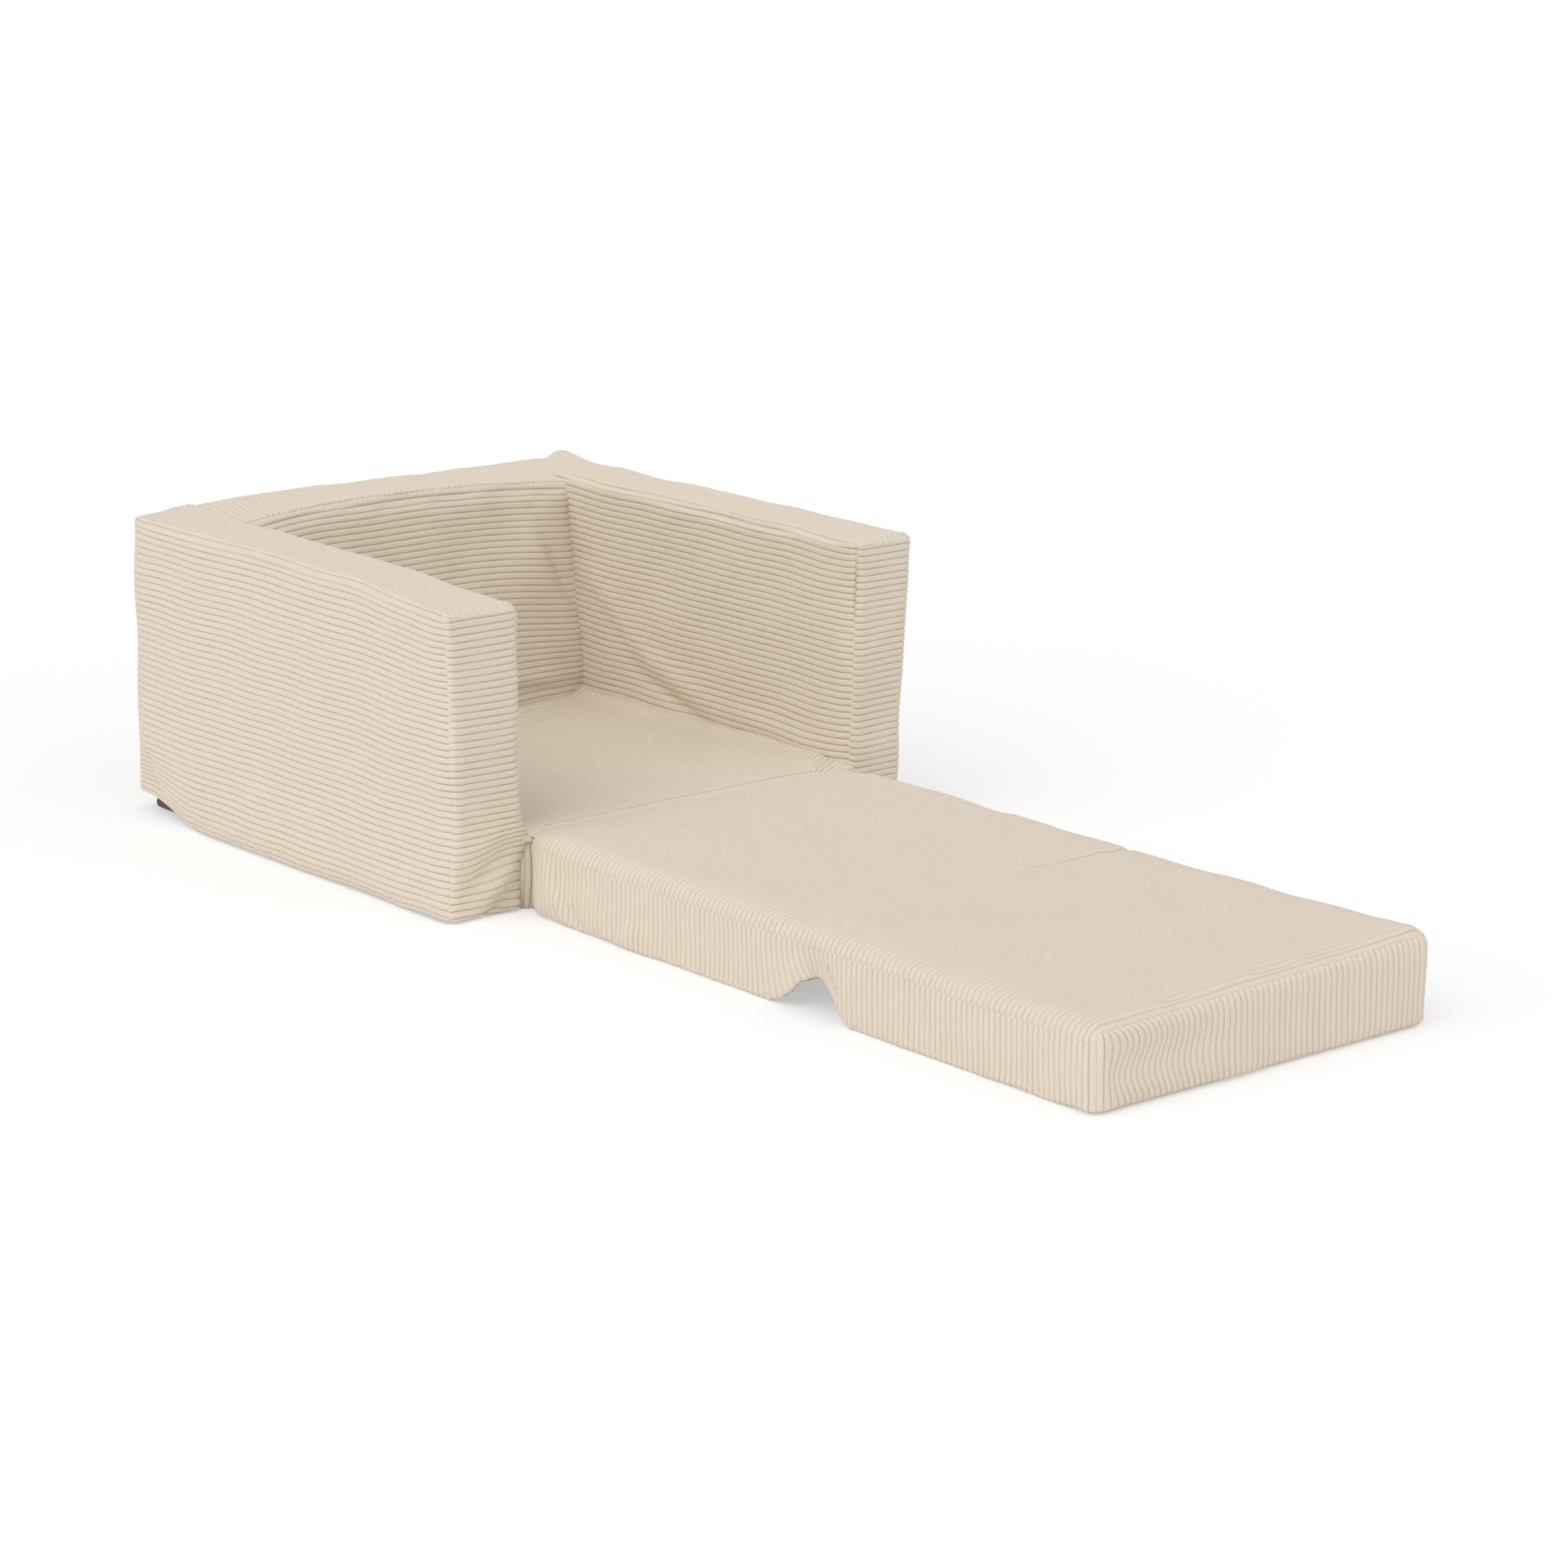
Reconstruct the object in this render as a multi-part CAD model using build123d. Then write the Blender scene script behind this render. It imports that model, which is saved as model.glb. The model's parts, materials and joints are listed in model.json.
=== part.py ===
from build123d import *
import math
import os

# Driving dimensions of the shell, in millimetres
shell_width = 530.0           # over both arms
shell_depth = 534.0           # arm fronts to the back's outer face
shell_height = 288.0          # floor to the crown of the arm tops
arm_thickness = 69.0
back_thickness = 83.0         # at its top
back_foot = 30.0              # how much thicker the back is at the seat than at its top
top_crown = 2.0               # rise of the arm and back tops along their middle
top_round = 7.0               # rounded long edges of the arms and back
front_round = 5.0             # rounded edges of the arm fronts

# Driving dimensions of the seat base
base_height = 76.0            # top of the seat cloth at the fold line
base_sag = 7.0                # how far the seat cloth dips in its middle
base_setback = 9.0            # base front face behind the fold line

# Driving dimensions of the two-section mattress
pad_side_gap = 4.0            # clear of each arm
pad_thickness = 76.0
pad_crown = 3.5               # rise of the top from its side edges to its middle
pad_draw = 2.0                # how far the sides pull in at mid length
pad_round = 13.0              # rounded long edges
loose_end_round = 15.0        # rounded edges at the loose end
rear_round = 10.0             # rounded lower edge at the seat fold
notch_round = 20.0            # rounded lower edges of the fold notch
seat_pad_reach = 397.0        # seat fold line to back fold line
backrest_pad_reach = 357.0    # back fold line to the loose end
backrest_fold_degrees = 77.0  # how far the back section turns up to lean on the shell

# Driving dimensions of the cover
cloth = 3.0                   # corduroy with its backing
base_cloth_inset = 6.0        # dark base cloth inside the shell's outline
pad_seam_drop = 14.0          # top seam below the pad's top
pad_hem = 6.0                 # bottom seam above the floor
band_wrap = 14.0              # how far a side band turns round the pad's corners
gusset_floor_gap = 28.0       # lower edge of the cloth that bridges the notch, above the floor
gusset_setback = 8.0          # that cloth inside the pad's side

# Driving dimensions of the fold seams
fold_lift = 0.6               # fold lines above the pad tops, so that folded tops lie flat together
mitre_gap = 1.5               # each mitred face clear of the plane where the two would meet
running_gap = 0.4             # seam roll to the section that turns about it

# Driving dimensions of the zip fasteners
zip_end_margin = 42.0         # each end of a zip short of the mattress sides
zip_tape_width = 16.0
zip_tape_thickness = 0.8
zip_coil_width = 5.0
zip_coil_thickness = 1.1
slider_length = 9.0
slider_width = 8.4
slider_roof = 1.0
slider_gap = 0.25             # slider clear of coil and tape
pull_length = 18.0
pull_width = 4.6
pull_thickness = 0.7
pull_eye_radius = 1.2
shell_zip_height = 24.0       # middle of the shell's zip above the floor
pad_zip_height = 42.0         # middle of each pad's zip above the floor

# Places worked out from the driving dimensions
total_length = shell_depth + seat_pad_reach + backrest_pad_reach
back_y = total_length / 2
front_y = back_y - shell_depth
seat_fold_y = front_y
back_fold_y = seat_fold_y - seat_pad_reach
loose_end_y = back_fold_y - backrest_pad_reach
fold_z = pad_thickness + fold_lift
well_half = shell_width / 2 - arm_thickness
well_foot_y = back_y - back_thickness - back_foot
back_lean = math.atan2(back_foot, shell_height - base_height)
outer_panel_y = back_y - cloth
pad_half = well_half - pad_side_gap
pad_seam_z = pad_thickness - pad_seam_drop
zip_length = 2 * (pad_half - zip_end_margin)
mitre = math.radians(backrest_fold_degrees / 2)
far = total_length            # longer than any piece, for cutting
proud = 0.5                   # how far a cutting outline stands over a crowned top


def notch_offset(height):
    """Distance of a mitred face from the back fold line at a height above the floor."""
    return (mitre_gap + (fold_z - height) * math.sin(mitre)) / math.cos(mitre)


fold_offset = notch_offset(pad_thickness)
seam_roll_radius = math.hypot(fold_offset, fold_lift) - running_gap


def block(x_low, x_high, y_low, y_high, z_low, z_high):
    """A plain box between two corners."""
    size = Box(x_high - x_low, y_high - y_low, z_high - z_low)
    return Pos((x_low + x_high) / 2, (y_low + y_high) / 2, (z_low + z_high) / 2) * size


def prism(plane, points, radii):
    """A polygon on a plane with rounded corners, extruded both ways past every piece."""
    face = make_face(Polyline(*points, close=True))
    for point, radius in zip(points, radii):
        if radius > 0:
            corner = face.vertices().sort_by_distance((point[0], point[1], 0))[0]
            face = fillet(corner, radius)
    return extrude(plane * face, far, both=True)


def corner_arc(start, end, centre, radius):
    """A quarter round between two points, about a centre."""
    out_x = start[0] + end[0] - 2 * centre[0]
    out_z = start[1] + end[1] - 2 * centre[1]
    reach = radius / math.hypot(out_x, out_z)
    return ThreePointArc(start, (centre[0] + out_x * reach, centre[1] + out_z * reach), end)


def crowned_face(x_low, x_high, z_low, z_high, crown, low_round, high_round):
    """A section of lines and arcs with rounded corners, whose top rises to its middle."""
    shoulder = z_high - crown
    low_z = z_low + low_round
    high_z = shoulder - high_round
    low_left = (x_low + low_round, z_low)
    low_right = (x_high - low_round, z_low)
    high_left = (x_low + high_round, shoulder)
    high_right = (x_high - high_round, shoulder)
    edges = [
        Line(low_left, low_right),
        Line((x_high, low_z), (x_high, high_z)),
        ThreePointArc(high_right, ((x_low + x_high) / 2, z_high), high_left),
        Line((x_low, high_z), (x_low, low_z)),
    ]
    if low_round > 0:
        edges.append(corner_arc(low_right, (x_high, low_z), (low_right[0], low_z), low_round))
        edges.append(corner_arc((x_low, low_z), low_left, (low_left[0], low_z), low_round))
    if high_round > 0:
        edges.append(corner_arc((x_high, high_z), high_right, (high_right[0], high_z), high_round))
        edges.append(corner_arc(high_left, (x_low, high_z), (high_left[0], high_z), high_round))
    return make_face(Wire(edges))


def arm_form(side, inset):
    """One arm, or its foam when inset by the cover. Side is -1 on the left and 1 on the right."""
    ends = (side * (well_half + inset), side * (shell_width / 2 - inset))
    x_low = min(ends)
    x_high = max(ends)
    y_low = front_y + inset
    z_high = shell_height - inset
    edge = front_round - inset
    section = crowned_face(x_low, x_high, cloth, z_high, top_crown, 0, top_round - inset)
    plan = [(x_low, y_low), (x_high, y_low), (x_high, outer_panel_y), (x_low, outer_panel_y)]
    top = z_high + proud
    profile = [(y_low, cloth), (y_low, top), (outer_panel_y, top), (outer_panel_y, cloth)]
    arm = extrude(Plane.XZ * section, far, both=True)
    return arm & prism(Plane.XY, plan, [edge, edge, 0, 0]) & prism(Plane.YZ, profile, [0, edge, 0, 0])


def arm_pieces(side):
    """Foam, wrap and front panel of one arm."""
    foam = arm_form(side, cloth)
    cover = arm_form(side, 0) - foam
    front_cut = block(-far, far, -far, front_y + front_round, 0, far)
    return foam, cover - front_cut, cover & front_cut


def back_form(inset):
    """The back between the arms, leaning above the seat, or its foam when inset by the cover."""
    foot_y = well_foot_y + inset
    bend_z = base_height - inset * math.tan(back_lean / 2)
    z_high = shell_height - inset
    top = z_high + proud
    top_y = foot_y + (top - bend_z) * math.tan(back_lean)
    section = crowned_face(-well_half, well_half, cloth, z_high, top_crown, 0, 0)
    profile = [
        (foot_y, cloth),
        (foot_y, bend_z),
        (top_y, top),
        (outer_panel_y, top),
        (outer_panel_y, cloth),
    ]
    rounds = [0, 0, top_round - inset, 0, 0]
    return extrude(Plane.XZ * section, far, both=True) & prism(Plane.YZ, profile, rounds)


def back_pieces():
    """Foam, inner panel, top panel and full-width outer panel of the back."""
    foam = back_form(cloth)
    cover = back_form(0) - foam
    top_seam_z = shell_height - top_crown - top_round
    inner_cut = block(-far, far, -far, far, 0, top_seam_z)
    half = shell_width / 2
    outline = crowned_face(-half, half, cloth, shell_height, top_crown, 0, top_round)
    outer_panel = extrude(Plane.XZ * outline, far, both=True)
    outer_panel = outer_panel & block(-far, far, outer_panel_y, back_y, 0, far)
    return foam, cover & inner_cut, cover - inner_cut, outer_panel


def dished_block(level):
    """The seat base up to a level at its front and rear edges, dipping in its middle."""
    face_y = seat_fold_y + base_setback
    dip = ((face_y + well_foot_y) / 2, level - base_sag)
    outline = [
        Line((well_foot_y, level), (well_foot_y, cloth)),
        Line((well_foot_y, cloth), (face_y, cloth)),
        Line((face_y, cloth), (face_y, level)),
        ThreePointArc((face_y, level), dip, (well_foot_y, level)),
    ]
    return extrude(Plane.YZ * make_face(Wire(outline)), well_half, both=True)


def base_pieces():
    """Foam, top panel and front panel of the seat base. The top panel's lip reaches the fold seam."""
    face_y = seat_fold_y + base_setback
    body = dished_block(base_height - cloth)
    front_cut = block(-far, far, -far, face_y + cloth, 0, far)
    lip_y = seat_fold_y + fold_offset
    lip = block(-pad_half, pad_half, lip_y, face_y, base_height - cloth, base_height)
    return body - front_cut, dished_block(base_height) - body + lip, body & front_cut


def pad_loft(rear_y, front_end_y, inset):
    """A loft through three crowned sections, drawn in at the middle one."""
    sections = []
    for y, draw in ((rear_y, 0), ((rear_y + front_end_y) / 2, pad_draw), (front_end_y, 0)):
        half = pad_half - draw - inset
        edge = pad_round - inset
        face = crowned_face(-half, half, inset, pad_thickness - inset, pad_crown, edge, edge)
        sections.append(Plane((0, y, 0), (1, 0, 0), (0, -1, 0)) * face)
    return loft(sections)


def seat_pad_form(inset):
    """The seat section: square at the seat fold, mitred at the back fold."""
    rear_y = seat_fold_y - fold_offset - inset
    slope = inset / math.cos(mitre)
    floor_y = back_fold_y + notch_offset(inset) + slope
    top = pad_thickness + notch_round
    top_y = back_fold_y + notch_offset(top) + slope
    profile = [(rear_y, top), (rear_y, inset), (floor_y, inset), (top_y, top)]
    rounds = [0, rear_round - inset, notch_round - inset, 0]
    form = pad_loft(seat_fold_y + notch_round, back_fold_y - notch_round, inset)
    return form & prism(Plane.YZ, profile, rounds)


def backrest_pad_form(inset):
    """The back section: mitred at the back fold, rounded at its loose end."""
    end_y = loose_end_y + inset
    slope = inset / math.cos(mitre)
    floor_y = back_fold_y - notch_offset(inset) - slope
    top = pad_thickness - inset + proud
    top_y = back_fold_y - notch_offset(top) - slope
    edge = loose_end_round - inset
    half = pad_half - inset
    profile = [(end_y, inset), (end_y, top), (top_y, top), (floor_y, inset)]
    plan = [(-half, end_y), (half, end_y), (half, far), (-half, far)]
    form = pad_loft(back_fold_y + notch_round, loose_end_y - notch_round, inset)
    form = form & prism(Plane.YZ, profile, [edge, edge, 0, notch_round - inset])
    return form & prism(Plane.XY, plan, [edge, edge, 0, 0])


def pad_pieces(form, split_y):
    """Foam, top, bottom, left band, right band, and the panels behind and before a split line."""
    foam = form(cloth)
    cover = form(0) - foam
    top = cover & block(-far, far, -far, far, pad_seam_z, far)
    bottom = cover & block(-far, far, -far, far, 0, pad_hem)
    ring = cover & block(-far, far, -far, far, pad_hem, pad_seam_z)
    wrap_x = pad_half - band_wrap
    left = ring & block(-far, -wrap_x, -far, far, 0, far)
    right = ring & block(wrap_x, far, -far, far, 0, far)
    ends = ring & block(-wrap_x, wrap_x, -far, far, 0, far)
    rear = ends & block(-far, far, split_y, far, 0, far)
    front = ends & block(-far, far, -far, split_y, 0, far)
    return foam, top, bottom, left, right, rear, front


def gusset(side):
    """The part of a side band that bridges the notch under the back fold."""
    clear = running_gap / math.cos(mitre)
    points = []
    for height, sign in (
        (gusset_floor_gap, -1),
        (gusset_floor_gap, 1),
        (pad_seam_z, 1),
        (pad_seam_z, -1),
    ):
        points.append((back_fold_y + sign * (notch_offset(height) - clear), height))
    outer_x = side * (pad_half - gusset_setback)
    inner_x = outer_x - side * cloth
    web = prism(Plane.YZ, points, [0, 0, 0, 0])
    return web & block(min(outer_x, inner_x), max(outer_x, inner_x), -far, far, 0, far)


def seam_roll(y):
    """The rolled seam allowance on a fold line."""
    half = pad_half - pad_round
    return Pos(0, y, fold_z) * Rot(0, 90, 0) * Cylinder(seam_roll_radius, 2 * half)


def zip_fastener(face):
    """Slot, tape, coil, slider and pull, on a plane that lies on the outside of the cloth."""
    tape_top = zip_tape_thickness - cloth
    coil_top = tape_top + zip_coil_thickness
    foot = tape_top + slider_gap
    ceiling = coil_top + slider_gap
    roof = ceiling + slider_roof
    half = zip_length / 2
    slot = block(-half, half, -zip_tape_width / 2, zip_tape_width / 2, -cloth, 0)
    tape = block(-half, half, -zip_tape_width / 2, zip_tape_width / 2, -cloth, tape_top)
    coil = block(-half, half, -zip_coil_width / 2, zip_coil_width / 2, tape_top, coil_top)
    x_high = half - slider_length / 2
    x_low = x_high - slider_length
    tunnel = zip_coil_width / 2 + slider_gap
    slider = block(x_low, x_high, -slider_width / 2, slider_width / 2, foot, roof)
    slider = slider - block(-far, far, -tunnel, tunnel, -far, ceiling)
    pull_low = x_high - pull_length
    pull = block(pull_low, x_high, -pull_width / 2, pull_width / 2, roof, roof + pull_thickness)
    eye = Pos(pull_low + pull_width / 2, 0, roof) * Cylinder(pull_eye_radius, far)
    return [face * piece for piece in (slot, tape, coil, slider, pull - eye)]


def notch_plane(sign):
    """The outside of a mitred face at the zip's height: sign is 1 on the seat section, -1 on the back."""
    y = back_fold_y + sign * notch_offset(pad_zip_height)
    outward = (0, -sign * math.cos(mitre), -math.sin(mitre))
    return Plane((0, y, pad_zip_height), (1, 0, 0), outward)


nodes = {}


def add_zip(name, panel_name, face):
    """Cut a zip's slot in its panel and add the zip's pieces."""
    slot, tape, coil, slider, pull = zip_fastener(face)
    nodes[panel_name] = nodes[panel_name] - slot
    nodes[name + "_zip_tape"] = tape
    nodes[name + "_zip_coil"] = coil
    nodes[name + "_zip_slider"] = slider
    nodes[name + "_zip_pull"] = pull


# Shell
for side_name, side in (("left", -1), ("right", 1)):
    foam, wrap, front_panel = arm_pieces(side)
    nodes[side_name + "_arm_foam"] = foam
    nodes[side_name + "_arm_wrap"] = wrap
    nodes[side_name + "_arm_front_panel"] = front_panel
back_names = ("back_foam", "back_inner_panel", "back_top_panel", "back_outer_panel")
nodes.update(zip(back_names, back_pieces()))
nodes.update(zip(("base_foam", "base_top_panel", "base_front_panel"), base_pieces()))
nodes["base_cloth"] = block(
    base_cloth_inset - shell_width / 2,
    shell_width / 2 - base_cloth_inset,
    front_y + base_cloth_inset,
    back_y - base_cloth_inset,
    0,
    cloth,
)
nodes["seat_fold_seam"] = seam_roll(seat_fold_y)
add_zip("shell", "back_outer_panel", Plane((0, back_y, shell_zip_height), (-1, 0, 0), (0, 1, 0)))

# Seat section of the mattress
pad_names = ("foam", "top_panel", "bottom_panel", "left_band", "right_band")
seat_names = ["seat_pad_" + name for name in pad_names + ("rear_band", "notch_panel")]
seat_middle_y = (seat_fold_y + back_fold_y) / 2
nodes.update(zip(seat_names, pad_pieces(seat_pad_form, seat_middle_y)))
nodes["backrest_fold_seam"] = seam_roll(back_fold_y)
nodes["notch_gusset_left"] = gusset(-1)
nodes["notch_gusset_right"] = gusset(1)
add_zip("seat_pad", "seat_pad_notch_panel", notch_plane(1))

# Back section of the mattress
backrest_names = ["backrest_pad_" + name for name in pad_names + ("notch_panel", "end_band")]
backrest_middle_y = (back_fold_y + loose_end_y) / 2
nodes.update(zip(backrest_names, pad_pieces(backrest_pad_form, backrest_middle_y)))
add_zip("backrest_pad", "backrest_pad_notch_panel", notch_plane(-1))

os.makedirs("parts", exist_ok=True)
for name, shape in nodes.items():
    export_step(shape, f"parts/{name}.step")
print(f"{len(nodes)} pieces, fold lines at y {seat_fold_y} and {back_fold_y}, z {fold_z}")
print(f"slider travel {zip_length - 2 * slider_length}, seam roll radius {seam_roll_radius:.3f}")
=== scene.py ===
import json
import math

import bpy
import numpy as np
from bpy.props import FloatProperty, FloatVectorProperty, PointerProperty
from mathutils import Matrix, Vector


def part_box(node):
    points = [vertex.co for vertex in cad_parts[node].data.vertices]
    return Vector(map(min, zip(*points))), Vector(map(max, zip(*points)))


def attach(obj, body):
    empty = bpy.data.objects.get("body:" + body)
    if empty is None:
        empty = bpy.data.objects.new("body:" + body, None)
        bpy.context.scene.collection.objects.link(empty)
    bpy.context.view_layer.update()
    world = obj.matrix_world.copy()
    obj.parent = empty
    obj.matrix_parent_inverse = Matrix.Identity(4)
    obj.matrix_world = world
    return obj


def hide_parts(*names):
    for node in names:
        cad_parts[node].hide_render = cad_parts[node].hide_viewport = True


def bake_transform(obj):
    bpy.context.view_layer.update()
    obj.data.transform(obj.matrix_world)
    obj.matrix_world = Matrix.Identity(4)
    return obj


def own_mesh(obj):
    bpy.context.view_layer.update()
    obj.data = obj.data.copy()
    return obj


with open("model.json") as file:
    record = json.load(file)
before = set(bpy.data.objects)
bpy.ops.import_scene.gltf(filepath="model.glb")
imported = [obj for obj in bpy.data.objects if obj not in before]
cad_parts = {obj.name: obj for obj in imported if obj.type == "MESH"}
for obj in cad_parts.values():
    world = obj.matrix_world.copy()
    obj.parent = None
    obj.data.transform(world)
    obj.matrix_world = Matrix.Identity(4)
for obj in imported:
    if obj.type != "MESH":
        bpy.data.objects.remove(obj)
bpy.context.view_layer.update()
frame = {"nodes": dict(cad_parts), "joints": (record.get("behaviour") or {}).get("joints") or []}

bl_info = {
    "name": "Kids folding armchair",
    "version": (1, 0, 0),
    "blender": (4, 5, 0),
    "location": "3D View > Sidebar > Armchair",
    "description": "Dresses the armchair's solids in sewn corduroy over foam, with its zips and base cloth",
    "category": "Add Mesh",
}

JOINT_PLACE = {joint["name"]: joint["pos_m"] for joint in frame["joints"] if joint["type"] == "hinge"}
SEAT_FOLD_Y = JOINT_PLACE["seat_fold"][1]
BACK_FOLD_Y = JOINT_PLACE["backrest_fold"][1]
FOLD_Z = JOINT_PLACE["backrest_fold"][2]
HALF_FOLD = math.radians(77 / 2)
MITRE_GAP = 0.0015
SEAT_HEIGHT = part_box("base_top_panel")[1][2]
SIDES = (("left", -1), ("right", 1))


def linear(hex_colour):
    """An sRGB hex colour as linear red, green and blue."""
    values = [int(hex_colour[i : i + 2], 16) / 255 for i in (1, 3, 5)]
    return tuple(v / 12.92 if v <= 0.04045 else ((v + 0.055) / 1.055) ** 2.4 for v in values)


def length_setting(name, description, default):
    """A length in metres that a user can set."""
    return FloatProperty(name=name, description=description, default=default, unit="LENGTH", precision=4)


def angle_setting(name, description, degrees):
    """An angle that a user can set."""
    return FloatProperty(name=name, description=description, default=math.radians(degrees), subtype="ANGLE")


def amount_setting(name, description, default):
    """A plain amount, 0 or more, that a user can set."""
    return FloatProperty(name=name, description=description, default=default, min=0)


def colour_setting(name, description, hex_colour):
    """A colour that a user can set."""
    return FloatVectorProperty(
        name=name, description=description, default=linear(hex_colour), subtype="COLOR", size=3, min=0, max=1
    )


class ArmchairCoverSettings(bpy.types.PropertyGroup):
    """Sizes and colours of the cover, the filling and the zips"""

    rib_pitch: length_setting("Rib pitch", "Distance from one corduroy rib to the next", 0.0065)
    rib_height: length_setting("Rib height", "Depth of the groove between two ribs", 0.0019)
    cloth_thickness: length_setting("Cloth thickness", "Backing of the corduroy under its grooves", 0.0016)
    seam_depth: length_setting("Seam depth", "How far a panel's edge turns in at a seam", 0.0030)
    seam_width: length_setting("Seam width", "How far from a seam a panel starts to turn in", 0.0040)
    arm_swell: length_setting("Arm swell", "How far the filling may push the arm and back covers out", 0.0030)
    pad_swell: length_setting("Pad swell", "How far the filling may push the mattress cover out", 0.0035)
    fill_pressure: amount_setting("Fill pressure", "Pressure of the filling on the cover", 4.0)
    crest_colour: colour_setting("Rib colour", "Cream pile on the crests of the ribs", "#E8E1D7")
    # The groove colour is painted shade: it darkens the cloth in the grooves between the ribs and beside
    # seams
    groove_shade_colour: colour_setting("Groove colour", "Cloth between the ribs", "#7E6C52")
    foam_colour: colour_setting("Foam colour", "Foam cores inside the cover", "#E9E0C4")
    base_cloth_colour: colour_setting("Base cloth colour", "Dark cloth under the shell", "#4A4540")
    zip_tape_colour: colour_setting("Zip tape colour", "Woven tape of the zips", "#CFC2AC")
    zip_coil_colour: colour_setting("Zip coil colour", "Nylon coil of the zips", "#C4B59B")
    zip_metal_colour: colour_setting("Zip slider colour", "Lacquered zinc sliders and pulls", "#B9AC97")


class ArmchairStageSettings(bpy.types.PropertyGroup):
    """Camera, light and floor"""

    camera_azimuth: angle_setting("Azimuth", "Turn of the camera round the chair", -39.175)
    camera_elevation: angle_setting("Elevation", "Camera above the horizon", 14.595)
    camera_distance: length_setting("Distance", "Camera to the foot of the shell's front", 4.2167)
    camera_right: length_setting("Right", "Sideways offset of the view", 0.0896)
    camera_up: length_setting("Up", "Upward offset of the view", 0.0853)
    camera_lens: amount_setting("Lens", "Focal length in millimetres", 103.84)
    floor_colour: colour_setting("Floor colour", "Plain pale floor", "#FFFFFF")
    key_strength: amount_setting("Key light", "Soft light from the upper left", 1.2)
    fill_strength: amount_setting("Fill light", "Soft light from the front", 0.5)
    sky_strength: amount_setting("Sky", "Even light from all round", 0.6)


# Measures of the solids and small tools for numbers


def hull(*names):
    """Lowest and highest corner of some CAD nodes together."""
    corners = np.array([[tuple(corner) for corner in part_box(name)] for name in names])
    return corners[:, 0].min(axis=0), corners[:, 1].max(axis=0)


def notch_offset(height):
    """Distance of a mitred face from the back fold line at a height above the floor."""
    return (MITRE_GAP + (FOLD_Z - height) * math.sin(HALF_FOLD)) / math.cos(HALF_FOLD)


def zip_slot(name):
    """A test of where a panel is cut open for its zip."""
    low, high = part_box(name + "_zip_tape")

    def inside(middle):
        inside_x = (middle[:, 0] > low[0]) & (middle[:, 0] < high[0])
        return inside_x & (middle[:, 2] > low[2]) & (middle[:, 2] < high[2])

    return inside


def spaced(low, high, step, edge_low, edge_high):
    """Cuts along one side of a cage, closer together over its rounded edges."""
    inner_low = low + edge_low
    inner_high = high - edge_high
    count = max(1, round((inner_high - inner_low) / step))
    return np.concatenate(
        [
            np.linspace(low, inner_low, 4)[:-1],
            np.linspace(inner_low, inner_high, count + 1),
            np.linspace(inner_high, high, 4)[1:],
        ]
    )


def flat_net(rows, columns, row_axis, column_axis):
    """A net of points with its rows set out along one axis and its columns along another."""
    net = np.zeros((len(rows), len(columns), 3))
    net[..., row_axis] = rows[:, None]
    net[..., column_axis] = columns[None, :]
    return net


def smooth(value):
    """A soft step from 0 to 1."""
    value = np.clip(value, 0, 1)
    return value * value * (3 - 2 * value)


def ramp(value, start, width):
    """A soft step from 0 at a start to 1 a width further on; a negative width steps the other way."""
    return smooth((value - start) / width)


def bell(value, middle, width):
    """A soft hump of height 1 round a middle."""
    return np.exp(-(((value - middle) / width) ** 2))


def mix(first, second, share):
    """Rows of points between two sets of them."""
    return first + (second - first) * np.asarray(share)[:, None]


def waves(place, length, seed):
    """Soft unevenness of about that wavelength, between about -1 and 1."""
    dice = np.random.default_rng(seed)
    total = np.zeros(place.shape[:-1])
    count = 7
    for _ in range(count):
        heading = dice.normal(size=3)
        heading *= dice.uniform(0.7, 1.4) * 2 * math.pi / (length * np.linalg.norm(heading))
        total += np.sin(place @ heading + dice.uniform(0, 2 * math.pi))
    return total / math.sqrt(count)


# Cages: the stuffed blocks that the cover is sewn round


def side_quads(side):
    """The four-cornered faces of a net of points."""
    corners = (side[:-1, :-1], side[1:, :-1], side[1:, 1:], side[:-1, 1:])
    return np.stack(corners, axis=-1).reshape(-1, 4)


# How far the foam gives inwards, and the frames for which a cover is blown up
FOAM_GIVE = 0.0008
PUFF_FRAMES = 20


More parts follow.
